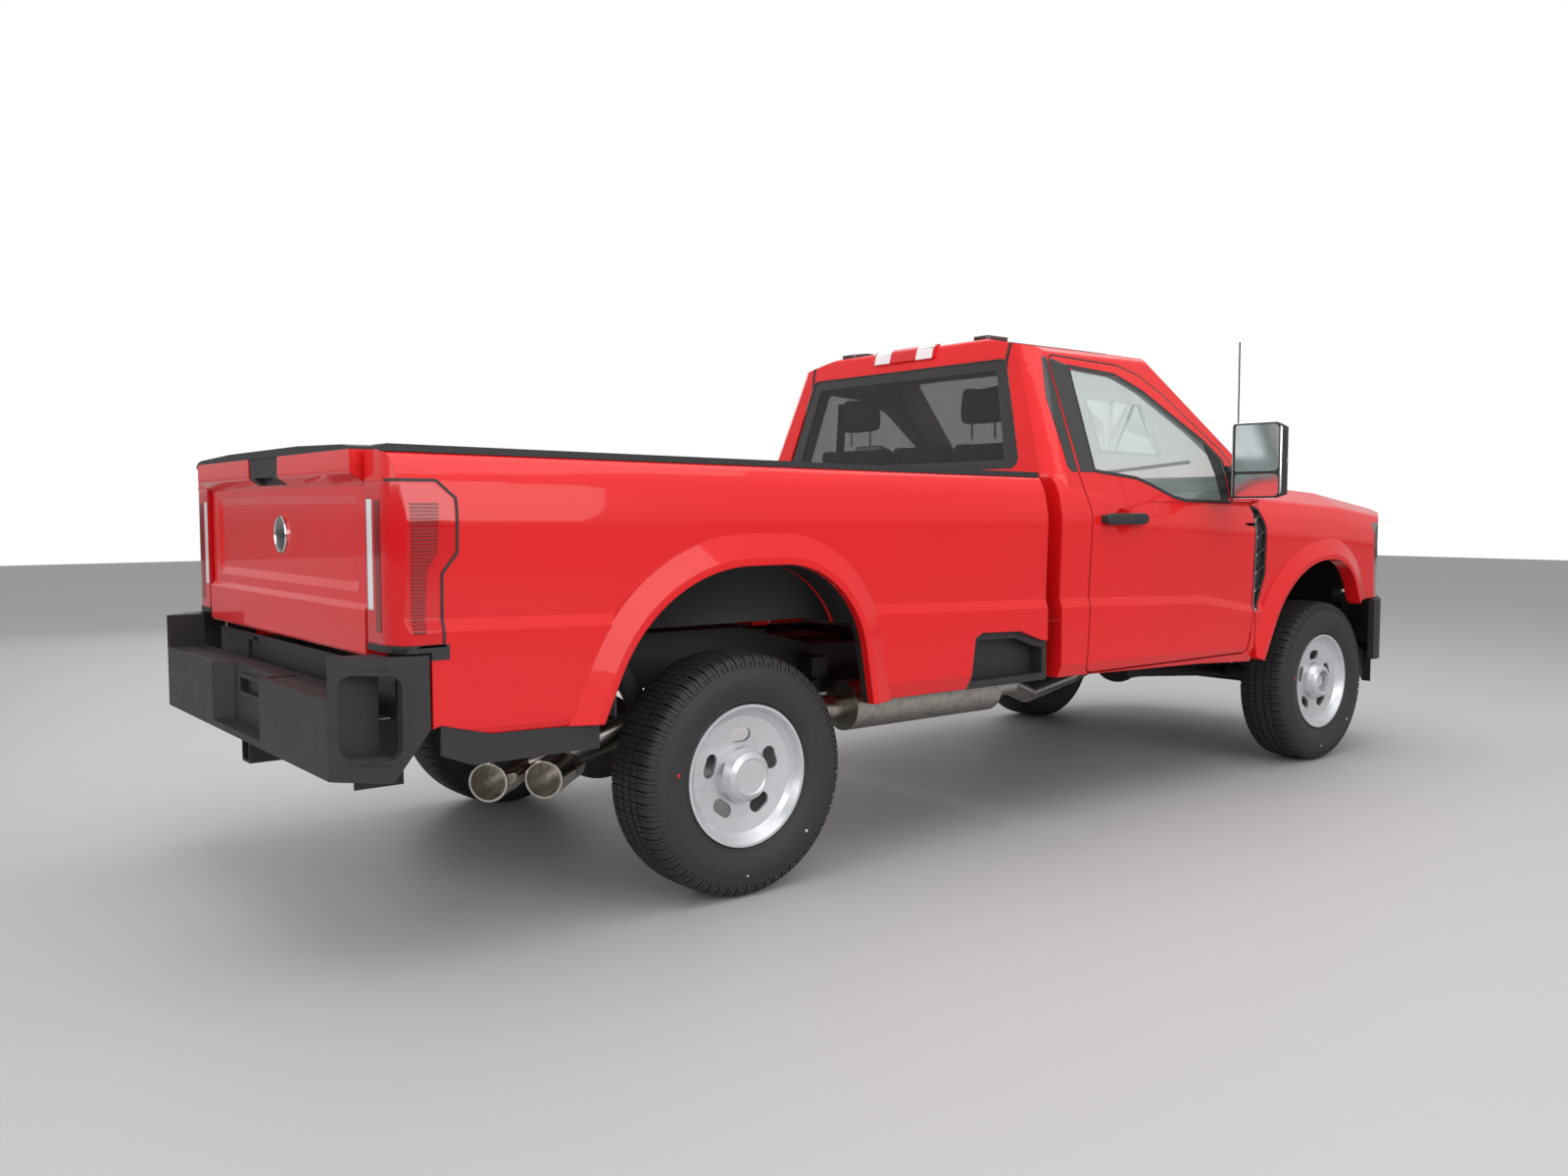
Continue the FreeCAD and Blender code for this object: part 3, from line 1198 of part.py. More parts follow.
def rail_rise(share):
    """How far the rail stands above its middle run at a share of half the length."""
    kick = bed_floor_bottom - size.bed_sill_depth - size.rail_mid_bottom - size.rail_height
    for (first, low), (second, high) in zip(FRAME_RAIL_SHARES, FRAME_RAIL_SHARES[1:]):
        if first <= share <= second:
            return (low + (high - low) * (share - first) / (second - first)) * kick
    return 0


# Turned pieces as sketched bodies

def plane_of(body, role):
    """The body's own origin plane or axis with a given role."""
    return next(feature for feature in body.Origin.OriginFeatures if feature.Role == role)


def new_body(name):
    body = document.addObject("PartDesign::Body", name)
    body.Label = name
    return body


def sketch_profile(body, name, role, points):
    """A closed profile whose corners are bound to the sheet."""
    sketch = body.newObject("Sketcher::SketchObject", name)
    sketch.AttachmentSupport = [(plane_of(body, role), "")]
    sketch.MapMode = "FlatFace"
    count = len(points)
    for start, end in zip(points, points[1:] + points[:1]):
        sketch.addGeometry(Part.LineSegment(vector(*start, 0), vector(*end, 0)), False)
    for index in range(count):
        sketch.addConstraint(Sketcher.Constraint("Coincident", index, 2, (index + 1) % count, 1))
    for index, point in enumerate(points):
        for direction, value in zip(("DistanceX", "DistanceY"), point):
            number = sketch.addConstraint(Sketcher.Constraint(direction, -1, 1, index, 1, float(value)))
            if isinstance(value, Length):
                sketch.setExpression(f"Constraints[{number}]", value.text)
    return sketch


def revolved(body, name, sketch, axis_role):
    feature = body.newObject("PartDesign::Revolution", name)
    feature.Profile = sketch
    feature.ReferenceAxis = (plane_of(body, axis_role), [""])
    feature.Angle = 360
    return feature


def tyre(name):
    """A tyre turned about the wheel's axle: tread, shoulders, walls and beads."""
    body = new_body(name)
    outer = size.tyre_diameter / 2
    half = size.tyre_width / 2
    tread = size.tread_width / 2
    bead = size.bead_diameter / 2
    seat = size.bead_width / 2 - size.pin_clearance
    lip = size.rim_flange_diameter / 2 + size.seat_clearance
    wall = size.tyre_wall
    middle = (outer + bead) / 2
    points = [
        (tread / 2, outer), (tread, outer - size.tread_crown),
        (half - size.tread_crown, outer - size.shoulder_depth),
        (half, middle + size.shoulder_depth), (half, middle),
        (half - size.tread_crown, bead + size.shoulder_depth),
        (seat, lip), (seat, bead), (seat - wall, bead), (half - wall - wall, middle),
        (half - wall - wall, outer - size.shoulder_depth - wall),
    ]
    points = points + [(-across, up) for across, up in reversed(points)]
    sketch = sketch_profile(body, name + "_section", "YZ_Plane", points)
    revolved(body, name + "_turned", sketch, "Y_Axis")
    return body


def rim(name, cap_height, cap_shares):
    """A steel wheel: barrel with flanges, drop centre, disc with slots, and hub cap."""
    body = new_body(name)
    flange = size.rim_flange_diameter / 2
    seat = size.bead_diameter / 2 - size.pin_clearance
    half = size.bead_width / 2
    wall = size.rim_wall
    edge = half + size.rim_flange_width
    well = seat - size.rim_drop
    well_half = size.rim_well_width / 2
    disc = size.wheel_disc_diameter / 2
    hub = size.hub_face_diameter / 2
    face = half - size.wheel_face_depth
    setback = edge - size.hub_face_setback
    bore = size.spindle_diameter / 2 + size.pin_clearance
    points = [
        (edge, flange), (edge, flange - wall), (half - wall, seat - wall), (face, disc),
        (face - wall, hub + size.slot_width),
    ]
    points += [(setback + wall + (cap_height - wall) * out, hub * radius) for out, radius in cap_shares]
    points += [
        (setback, 0), (setback, bore),
        (setback - size.hub_barrel_length, bore), (setback - size.hub_barrel_length, hub - wall),
        (setback - wall, hub - wall), (face - wall * 2, hub + size.slot_width),
        (face - wall * 2, disc - wall), (face - wall * 3, well - wall), (-well_half, well - wall),
        (-well_half - wall, seat - wall), (-half, seat - wall), (-edge, flange - wall), (-edge, flange),
        (-half, flange), (-half, seat), (-well_half, seat), (-well_half + wall, well),
        (well_half - wall, well),
        (well_half, seat), (half, seat), (half, flange),
    ]
    sketch = sketch_profile(body, name + "_section", "YZ_Plane", points)
    revolved(body, name + "_turned", sketch, "Y_Axis")
    slot = body.newObject("Sketcher::SketchObject", name + "_slot")
    slot.AttachmentSupport = [(plane_of(body, "XZ_Plane"), "")]
    slot.MapMode = "FlatFace"
    add_slot(slot, size.slot_pitch_diameter / 2, size.slot_length, size.slot_width)
    pocket = body.newObject("PartDesign::Pocket", name + "_slots")
    pocket.Profile = slot
    pocket.Type = "ThroughAll"
    pocket.Midplane = True
    pattern = body.newObject("PartDesign::PolarPattern", name + "_pattern")
    pattern.Originals = [pocket]
    pattern.Axis = (plane_of(body, "Y_Axis"), [""])
    pattern.Angle = 360
    pattern.setExpression("Occurrences", size.slot_count.text)
    body.Tip = pattern
    return body


# Hub caps from the disc outwards: shares of the cap's height and of the hub's radius
REAR_CAP_SHARES = ((0.0, 1.0), (0.45, 0.96), (0.84, 0.82), (1.0, 0.64), (0.95, 0.58), (0.95, 0.0))
FRONT_CAP_SHARES = ((0.0, 1.0), (0.4, 0.95), (0.82, 0.82), (1.0, 0.66), (1.0, 0.55), (0.12, 0.5),
                    (0.12, 0.36),
                    (0.62, 0.33), (0.62, 0.0))


def add_slot(sketch, radius, length, width):
    """A round-ended slot across the top of the wheel disc, bound to the sheet."""
    half_run = (length - width) / 2
    half_width = width / 2
    top, bottom = radius + half_width, radius - half_width
    left, right = vector(-half_run, radius, 0), vector(half_run, radius, 0)
    quarter = math.pi / 2
    sketch.addGeometry(Part.LineSegment(vector(-half_run, top, 0), vector(half_run, top, 0)), False)
    sketch.addGeometry(Part.ArcOfCircle(Part.Circle(right, ALONG_Z, half_width), -quarter, quarter), False)
    sketch.addGeometry(Part.LineSegment(vector(half_run, bottom, 0), vector(-half_run, bottom, 0)), False)
    sketch.addGeometry(Part.ArcOfCircle(Part.Circle(left, ALONG_Z, half_width), quarter, -quarter), False)
    for first, first_end, second, second_end in ((0, 2, 1, 2), (1, 1, 2, 1), (2, 2, 3, 2), (3, 1, 0, 1)):
        sketch.addConstraint(Sketcher.Constraint("Tangent", first, first_end, second, second_end))
    for kind, number, value in (("DistanceX", 3, -half_run), ("DistanceX", 1, half_run),
                                ("DistanceY", 1, radius)):
        index = sketch.addConstraint(Sketcher.Constraint(kind, -1, 1, number, 3, float(value)))
        sketch.setExpression(f"Constraints[{index}]", value.text)
    index = sketch.addConstraint(Sketcher.Constraint("Radius", 1, float(half_width)))
    sketch.setExpression(f"Constraints[{index}]", half_width.text)


def place_wheel(body, axle_x, track, side):
    """Moves a wheel piece to its axle end; the right one is turned to face outwards."""
    turn = FreeCAD.Rotation(ALONG_Z, 0 if side > 0 else 180)
    body.Placement = FreeCAD.Placement(vector(axle_x, side * track / 2, wheel_height), turn)
    for path, value in ((".Placement.Base.x", axle_x), (".Placement.Base.y", track / 2 * side),
                        (".Placement.Base.z", wheel_height)):
        body.setExpression(path, value.text)


# Steering and axles

kingpin_y = kingpin_track / 2
arm_height = wheel_height - size.steering_arm_drop


def hub_inner(track):
    """The inner end of the wheel's hub barrel, from the middle plane."""
    edge = size.bead_width / 2 + size.rim_flange_width
    return track / 2 + edge - size.hub_face_setback - size.hub_barrel_length


def spindle(track, root):
    """The right spindle that the hub turns on, from its root to inside the hub."""
    hub_end = hub_inner(track) + size.hub_barrel_length
    start = vector(0, -root, 0)
    end = vector(0, -hub_end + size.yoke_gap, 0)
    return rod(start, end, size.spindle_diameter)


def knuckle():
    """The right steering knuckle: block, kingpin, spindle and steering arm."""
    half = size.knuckle_height / 2
    y = -kingpin_y
    body = block(-size.knuckle_length / 2, size.knuckle_length / 2, y - size.knuckle_thickness / 2,
                 y + size.knuckle_thickness / 2, -half, half)
    reach = half + size.yoke_gap + size.yoke_plate
    pin = rod(vector(0, y, -reach), vector(0, y, reach), size.kingpin_diameter)
    drop = -size.steering_arm_drop
    arm = block(0, size.steering_arm_reach, y - size.steering_arm_width / 2,
                y + size.steering_arm_width / 2,
                drop - size.steering_arm_thickness / 2, drop + size.steering_arm_thickness / 2)
    eye_top = drop + size.steering_arm_thickness / 2
    eye = rod(vector(size.steering_arm_reach, y, drop - size.steering_arm_thickness / 2),
              vector(size.steering_arm_reach, y, eye_top), size.tie_rod_eye_diameter)
    stud = rod(vector(size.steering_arm_reach, y, drop),
               vector(size.steering_arm_reach, y, eye_top + size.tie_rod_eye_diameter),
               size.tie_rod_pin_diameter)
    whole = joined([body, pin, arm, eye, stud, spindle(front_track, kingpin_y)])
    whole.translate(vector(front_axle_x, 0, wheel_height))
    return whole


def tie_rod():
    """The bar between the steering arms, with an eye on each stud."""
    x = front_axle_x + size.steering_arm_reach
    low = arm_height + size.steering_arm_thickness / 2 + size.yoke_gap
    middle = low + size.tie_rod_eye_diameter / 2 - size.yoke_gap
    pieces = [rod(vector(x, -kingpin_y, middle), vector(x, kingpin_y, middle), size.tie_rod_diameter)]
    for side in (-1, 1):
        base = vector(x, kingpin_y * side, low)
        top = vector(x, kingpin_y * side, low + size.tie_rod_eye_diameter - size.yoke_gap * 2)
        pieces.append(rod(base, top, size.tie_rod_eye_diameter))
    bar = joined(pieces)
    for side in (-1, 1):
        hole = size.tie_rod_pin_diameter + size.pin_clearance * 2
        if side > 0:
            hole = size.tie_rod_pin_diameter + size.yoke_gap * 2
        bar = bar.cut(rod(vector(x, kingpin_y * side, 0),
                          vector(x, kingpin_y * side, size.shoulder_height), hole))
    return bar


def axle_yoke():
    """The fork at the right end of the front axle that holds the kingpin."""
    y = -kingpin_y
    half = size.knuckle_height / 2 + size.yoke_gap
    wide = size.knuckle_length / 2
    plates = []
    root = y + size.knuckle_thickness
    for low in (half, -half - size.yoke_plate):
        plates.append(block(-wide, wide, y - size.kingpin_diameter, root + size.yoke_plate, low,
                            low + size.yoke_plate))
    web = block(-wide, wide, root, root + size.yoke_plate, -half, half)
    fork = joined(plates + [web])
    reach = half + size.yoke_plate
    bore = size.kingpin_diameter + size.pin_clearance * 2
    return fork.cut(rod(vector(0, y, -reach - far), vector(0, y, reach + far), bore))


def ball(centre, diameter):
    return Part.makeSphere(diameter / 2, centre)


def front_axle():
    root = kingpin_y - size.knuckle_thickness - size.yoke_plate
    housing = rod(vector(0, -root, 0), vector(0, root, 0), size.axle_tube_diameter)
    differential = ball(vector(0, size.front_differential_offset, 0), size.front_differential_diameter)
    whole = joined([axle_yoke(), mirrored(axle_yoke()), housing, differential])
    whole.translate(vector(front_axle_x, 0, wheel_height))
    return whole


def rear_axle():
    root = hub_inner(rear_track) - size.yoke_plate
    housing = rod(vector(0, -root, 0), vector(0, root, 0), size.axle_tube_diameter + size.yoke_plate)
    differential = ball(ORIGIN, size.rear_differential_diameter)
    right = spindle(rear_track, root - size.yoke_plate)
    whole = joined([housing, differential, right, mirrored(right)])
    whole.translate(vector(rear_axle_x, 0, wheel_height))
    return whole


def rear_suspension():
    """Leaf springs hung from the rails over the axle."""
    pieces = []
    y = -size.rail_outer_half - size.spring_width / 2 - size.spring_gap
    low = wheel_height + (size.axle_tube_diameter + size.yoke_plate) / 2 + size.seat_clearance
    for side in (-1, 1):
        across = y * side
        pieces.append(leaf_spring(across, low))
    return Part.makeCompound(pieces)


def leaf_spring(across, low):
    half = size.spring_half_length
    rise = size.spring_arch
    start = vector(rear_axle_x - half, 0, low + rise)
    middle = vector(rear_axle_x, 0, low)
    end = vector(rear_axle_x + half, 0, low + rise)
    lift = vector(0, 0, size.spring_thickness)
    bottom = Part.Arc(start, middle, end).toShape()
    top = Part.Arc(end + lift, middle + lift, start + lift).toShape()
    sides = [Part.makeLine(end, end + lift), Part.makeLine(start + lift, start)]
    wire = Part.Wire([bottom, sides[0], top, sides[1]])
    wire.translate(vector(0, across - size.spring_width / 2, 0))
    return Part.Face(wire).extrude(ALONG_Y * float(size.spring_width))


def front_suspension():
    """Coil springs over the axle and radius arms back to the frame."""
    low = wheel_height + size.axle_tube_diameter / 2 + size.seat_clearance
    across = size.rail_outer_half + size.coil_diameter / 2 + size.spring_gap
    seat = vector(front_axle_x, -across, low)
    coil = rod(seat, seat + ALONG_Z * float(size.coil_height), size.coil_diameter)
    arm = radius_arm()
    return Part.makeCompound([coil, mirrored(coil), arm, mirrored(arm)])


def radius_arm():
    """The right arm from the front axle back to a bracket under the rail."""
    y = -size.rail_outer_half + size.rail_width / 2
    start = vector(front_axle_x, y, wheel_height)
    end = vector(front_axle_x - size.radius_arm_length, y, size.rail_mid_bottom - size.radius_arm_drop)
    arm = rod(start, end, size.radius_arm_diameter)
    half = size.radius_arm_diameter
    rail_low = size.rail_mid_bottom + rail_rise((end.x - half) / half_length) - size.seat_clearance
    bracket = block(end.x - half, end.x + half, -size.rail_outer_half,
                    -size.rail_outer_half + size.rail_width,
                    end.z - half / 2, rail_low - size.rail_web)
    eye = rod(vector(end.x, y, end.z), vector(end.x, y, rail_low), half)
    return joined([arm, bracket, eye]).cut(front_axle_piece)


def driveshafts():
    rear = rod(vector(rear_axle_x, 0, wheel_height), vector(gearbox_rear, 0, gearbox_height),
               size.driveshaft_diameter)
    front = rod(vector(front_axle_x, size.front_differential_offset, wheel_height),
                vector(transfer_front, size.front_differential_offset, gearbox_height),
                size.front_driveshaft_diameter)
    return Part.makeCompound([rear.cut(rear_axle()).cut(powertrain()),
                              front.cut(front_axle()).cut(powertrain())])


engine_front = front_axle_x + size.engine_length / 3
gearbox_front = engine_front - size.engine_length
gearbox_rear = gearbox_front - size.gearbox_length
gearbox_height = size.gearbox_bottom + size.shaft_rise
gearbox_top = size.gearbox_bottom + size.gearbox_height
transfer_front = gearbox_rear + size.gearbox_length / 3


def powertrain():
    engine = block(gearbox_front, engine_front, -size.engine_width / 2, size.engine_width / 2,
                   size.engine_bottom,
                   size.engine_bottom + size.engine_height)
    gearbox = block(gearbox_rear, gearbox_front, -size.gearbox_width / 2, size.gearbox_width / 2,
                    size.gearbox_bottom, gearbox_top)
    transfer = block(gearbox_rear, transfer_front - size.seat_clearance, 0,
                     size.front_differential_offset + size.front_driveshaft_diameter, size.gearbox_bottom,
                     gearbox_top)
    reach = size.rail_outer_half - size.rail_web - size.seat_clearance
    middle = (gearbox_front + engine_front) / 2
    mount_low = size.rail_mid_bottom + size.rail_height / 2
    mounts = block(middle, middle + size.engine_mount_height * 2, -reach, reach, mount_low,
                   mount_low + size.engine_mount_height)
    return joined([engine, gearbox, transfer, mounts])


def fuel_tank():
    outer = size.rail_outer_half - size.rail_width - size.seat_clearance
    tank = block(-size.tank_front - size.tank_length, -size.tank_front, outer - size.tank_width, outer,
                 size.tank_bottom, size.tank_bottom + size.tank_height)
    return tank.makeFillet(size.tank_corner, tank.Edges)


def pipe_run(points, diameter):
    """A bent pipe through a row of points."""
    runs = [rod(start, end, diameter) for start, end in zip(points, points[1:])]
    bends = [ball(point, diameter) for point in points[1:-1]]
    return joined(runs + bends)


def exhaust_system():
    """Pipe, silencer and twin tips on the right, hung from the rail."""
    pipe = pipe_run([vector(*[half_length * share for share in place]) for place in EXHAUST_PATH_SHARES],
                    size.exhaust_diameter)
    start, end = [vector(*[half_length * share for share in place]) for place in SILENCER_SHARES]
    silencer = rod(start, end, size.silencer_diameter)
    middle = (start + end) / 2
    hanger = rod(middle, vector(middle.x, -size.rail_outer_half - size.seat_clearance, middle.z),
                 size.exhaust_diameter / 4)
    tips, mouths = [], []
    along = ALONG_X + ALONG_Y
    along.normalize()
    for place in EXHAUST_TIP_SHARES:
        mouth = vector(*[half_length * share for share in place])
        tips.append(rod(mouth, mouth + along * float(size.exhaust_tip_length), size.exhaust_tip_diameter))
        mouths.append(rod(mouth, mouth + along * float(size.exhaust_tip_depth), size.exhaust_tip_bore))
    whole = joined([pipe, silencer, hanger] + tips)
    for hollow in mouths:
        whole = whole.cut(hollow)
    return whole.cut(powertrain())


EXHAUST_TIP_SHARES = ((-0.835, -0.271, 0.158), (-0.7735, -0.271, 0.1525))
EXHAUST_PATH_SHARES = ((-0.778, -0.2175, 0.157), (-0.696, -0.2175, 0.170), (-0.628, -0.2175, 0.188),
                       (-0.476, -0.2175, 0.188), (-0.34, -0.2175, 0.178), (0.0, -0.2175, 0.178),
                       (0.085, -0.177, 0.153), (0.306, -0.085, 0.153), (0.49, -0.085, 0.2))
SILENCER_SHARES = ((-0.32, -0.2175, 0.178), (-0.05, -0.2175, 0.178))


def spare_wheel():
    """The spare hung flat under the rear of the box, closed where nothing shows."""
    x = -half_length + size.spare_setback
    top = bed_floor_bottom - size.bed_sill_depth - size.spare_drop
    points = [(size.spare_diameter / 2 * out, size.spare_width * up) for out, up in SPARE_SHARES]
    radii = [size.spare_diameter / 2 * share for share in SPARE_RADIUS_SHARES]
    section = Part.Face(rounded_wire(points, radii, placed("y", 0)))
    wheel = section.revolve(ORIGIN, ALONG_Z, 360)
    wheel.translate(vector(x, 0, top - size.spare_width))
    return wheel


SPARE_SHARES = ((0.0, 0.42), (0.22, 0.42), (0.3, 0.3), (0.46, 0.24), (0.55, 0.1), (0.62, 0.0), (0.92, 0.0),
                (1.0, 0.22), (1.0, 0.78), (0.92, 1.0), (0.62, 1.0), (0.5, 0.8), (0.0, 0.8))
SPARE_RADIUS_SHARES = (0, 0.05, 0.05, 0.03, 0.02, 0.03, 0.06, 0.04, 0.04, 0.06, 0.03, 0, 0)


def hitch_receiver():
    """A square receiver tube in a round cross tube between the rails."""
    outer = size.receiver_inner / 2 + size.receiver_wall
    back = -half_length + size.receiver_setback
    front = back + size.receiver_length
    low = size.receiver_height
    body = block(back, front, -outer, outer, low - outer, low + outer)
    cross_x = front - size.receiver_tube_size
    cross = rod(vector(cross_x, -size.rail_outer_half, low), vector(cross_x, size.rail_outer_half, low),
                size.receiver_tube_size)
    rise = size.rail_mid_bottom + rail_rise(FRAME_RAIL_SHARES[0][0]) - size.seat_clearance
    plates = []
    for side in (-1, 1):
        edge = size.rail_outer_half * side
        inner = edge - size.receiver_wall * side
        limits = sorted((float(edge), float(inner)))
        plates.append(block(cross_x - size.receiver_tube_size, cross_x + size.receiver_tube_size,
                            limits[0], limits[1],
                            low - size.receiver_tube_size, rise))
    half = size.receiver_inner / 2
    whole = joined([body, cross] + plates)
    whole = whole.cut(block(back - far, front - size.receiver_tube_size * 2, -half, half, low - half,
                            low + half))
    pin_x = back + size.hitch_pin_setback
    return whole.cut(rod(vector(pin_x, -outer - far, low), vector(pin_x, outer + far, low),
                         size.hitch_pin_diameter))


# Cab fittings

def dashboard():
    half = side_half_width - size.door_depth - size.cab_wall
    front = cab_front_edge - size.seat_clearance
    points = [(front, size.cab_floor_top + size.seat_cushion_height), (front, belt_height),
              (front - size.dash_depth / 3, belt_height + size.dash_crown),
              (front - size.dash_depth, belt_height - size.dash_crown),
              (front - size.dash_depth, belt_height - size.dash_face),
              (front - size.dash_depth / 2, size.cab_floor_top + size.seat_cushion_height)]
    return prism("y", -half, half, points)


def seat_cushions():
    half = seat_half_width
    low = size.cab_floor_top + size.seat_base_height
    cushion = block(size.seat_rear, size.seat_rear + size.seat_depth, -half, half, low,
                    low + size.seat_cushion_height)
    return cushion.makeFillet(size.seat_corner, cushion.Edges)


def seat_base():
    half = seat_half_width - size.seat_back_depth
    low = size.cab_floor_top
    return block(size.seat_rear + size.restraint_depth,
                 size.seat_rear + size.seat_depth - size.restraint_depth,
                 -half, half, low, low + size.seat_base_height - size.seat_clearance)


def seat_backs():
    half = seat_half_width
    low = size.cab_floor_top + size.seat_base_height + size.seat_cushion_height + size.seat_clearance
    lean = size.seat_lean
    points = [(size.seat_rear, low), (size.seat_rear + size.seat_back_depth, low),
              (size.seat_rear + size.seat_back_depth - lean, low + size.seat_back_height),
              (size.seat_rear - lean, low + size.seat_back_height)]
    back = prism("y", -half, half, points)
    return back.makeFillet(size.seat_corner, back.Edges)


def head_restraints():
    low = (size.cab_floor_top + size.seat_base_height + size.seat_cushion_height + size.seat_back_height
           + size.seat_clearance * 2)
    start = size.seat_rear - size.seat_lean + size.restraint_post_diameter
    pieces = []
    for side in (-1, 1):
        middle = size.restraint_spacing * side
        half = size.restraint_width / 2
        pad_low = low + size.restraint_gap
        pad = block(start, start + size.restraint_depth, middle - half, middle + half, pad_low,
                    pad_low + size.restraint_height)
        pad = pad.makeFillet(size.seat_corner * 3 / 4, pad.Edges)
        posts = []
        for offset in (-half / 2, half / 2):
            foot = vector(start + size.restraint_depth / 2, middle + offset, low)
            posts.append(rod(foot, foot + ALONG_Z * float(size.restraint_gap * 2),
                             size.restraint_post_diameter))
        pieces.append(joined([pad] + posts))
    return Part.makeCompound(pieces)


def steering_wheel():
    centre = vector(cab_front_edge - size.dash_depth - size.steering_wheel_reach, size.restraint_spacing,
                    belt_height - size.dash_crown * 2)
    tilt = vector(1, 0, -size.steering_rake)
    tilt.normalize()
    ring = Part.makeTorus(size.steering_wheel_diameter / 2, size.steering_rim_diameter / 2, centre, tilt)
    boss = rod(centre - tilt * float(size.steering_rim_diameter),
               centre + tilt * float(size.steering_wheel_reach),
               size.steering_wheel_diameter / 4)
    reach = size.steering_wheel_diameter / 2
    spokes = [rod(centre, centre + vector(0, side * reach, 0), size.steering_rim_diameter) for side in (-1,
                                                                                                        1)]
    return joined([ring, boss] + spokes).cut(dashboard())


def mirror():
    """The right tow mirror: sail, two arms and the housing."""
    head = mirror_head()
    sail = cabin_block(-size.mirror_sail_rise).cut(outer_cabin).cut(outer_body)
    sail = sail.common(prism("y", outside, -side_half_width / 2, body_points(SAIL_SHARES)))
    outer = -size.mirror_overall_width / 2
    arms = []
    for up, sail_up in MIRROR_ARM_SHARES:
        level = size.mirror_bottom + size.mirror_height * up
        arms.append(rod(vector(mirror_x + size.mirror_depth / 2, outer + size.mirror_width / 2, level),
                        vector(mirror_root_x, -side_half_width * MIRROR_ROOT_SHARE,
                               size.shoulder_height * sail_up), size.mirror_arm_diameter))
    return joined([head, sail] + arms).cut(mirror_glass_space()).cut(outer_cabin).cut(right_door)


def mirror_head():
    """The housing: bowed outer flank seen from above, rounded corners seen from behind."""
    outer = -size.mirror_overall_width / 2
    plan = [(mirror_x + size.mirror_depth * along, outer + size.mirror_width * across)
            for along, across in MIRROR_PLAN_SHARES]
    radii = [size.mirror_width * share for share in MIRROR_RADIUS_SHARES]
    tall = prism("z", size.mirror_bottom, size.mirror_bottom + size.mirror_height, plan, radii)
    low, high = size.mirror_bottom, size.mirror_bottom + size.mirror_height
    face = [(outer, low), (outer + size.mirror_width, low), (outer + size.mirror_width, high),
            (outer, high)]
    corner = size.mirror_corner
    across = tall.common(prism("x", 0, half_length, face, [corner, corner / 2, corner / 2, corner]))
    side = [(mirror_x + size.mirror_depth * along, low + size.mirror_height * up) for along,
            up in MIRROR_SIDE_SHARES]
    side_radii = [size.mirror_height * share for share in MIRROR_SIDE_RADIUS_SHARES]
    return across.common(prism("y", outer, 0, side, side_radii))


def mirror_glass_space():
    """The two shallow beds of the glasses in the housing's rear face."""
    outer = -size.mirror_overall_width / 2
    rim = size.mirror_glass_rim
    split = size.mirror_bottom + size.mirror_height * MIRROR_SPLIT_SHARE
    beds = []
    levels = ((size.mirror_bottom, split), (split - rim, size.mirror_bottom + size.mirror_height))
    for low, high in levels:
        face = [(outer + rim, low + rim), (outer + size.mirror_width - rim, low + rim),
                (outer + size.mirror_width - rim, high - rim), (outer + rim, high - rim)]
        beds.append(prism("x", mirror_x - far, mirror_x + size.mirror_glass_depth, face,
                          [rim * 2, rim, rim, rim * 2]))
    return Part.makeCompound(beds)


MIRROR_PLAN_SHARES = ((0.0, 1.0), (0.0, 0.0), (0.55, 0.0), (1.0, 0.4), (1.0, 1.0))
MIRROR_RADIUS_SHARES = (0.04, 0.08, 0.26, 0.24, 0.04)
MIRROR_SIDE_SHARES = ((0.0, 0.0), (1.0, 0.12), (1.0, 0.84), (0.0, 1.0))
MIRROR_SIDE_RADIUS_SHARES = (0.03, 0.16, 0.26, 0.03)
MIRROR_SPLIT_SHARE = 0.36


SAIL_SHARES = ((0.386, 0.925), (0.386, 1.02), (0.400, 1.02), (0.436, 0.940), (0.436, 0.925))
MIRROR_ARM_SHARES = ((0.25, 0.948), (0.6, 0.99))
MIRROR_ROOT_SHARE = 0.93


def roof_lamps():
    """Five tapering marker lamps that follow the roof, the outer two further back."""
    layer = cabin_block(-size.marker_lamp_rise).cut(outer_cabin)
    half = size.marker_lamp_width / 2
    lamps = []
    for across, along in ROOF_LAMP_SHARES:
        middle, start = side_half_width * across, half_length * along
        end = start + size.marker_lamp_length
        narrow = half * LAMP_TAPER_SHARE
        points = [(start, middle - half), (end, middle - narrow), (end, middle + narrow),
                  (start, middle + half)]
        radii = [size.marker_lamp_corner] * len(points)
        lamps.append(layer.common(prism("z", size.shoulder_height, overall_length, points, radii)))
    return Part.makeCompound(lamps)


ROOF_LAMP_SHARES = ((-0.43, 0.012), (0.43, 0.012), (-0.16, 0.165), (0.0, 0.165), (0.16, 0.165))
LAMP_TAPER_SHARE = 0.7


def high_mount_lamp():
    """The stop and bed lamp over the rear window, which follows the roof's edge."""
    half = size.stop_lamp_half
    rear = -cab_rear_edge
    region = block(rear, rear + size.cab_wall + size.stop_lamp_depth, -half, half, size.stop_lamp_low,
                   overall_length)
    return cabin_block(-size.stop_lamp_rise).cut(outer_cabin).common(region)



def antenna():
    foot = vector(antenna_x, -hood_half_width - size.skin_depth,
                  size.shoulder_height - size.antenna_foot_drop)
    mast = rod(foot, vector(foot.x, foot.y, size.overall_height), size.antenna_diameter)
    base = Part.makeCone(size.antenna_diameter * 2, size.antenna_diameter, size.antenna_diameter * 3, foot)
    return joined([mast, base]).cut(outer_body)


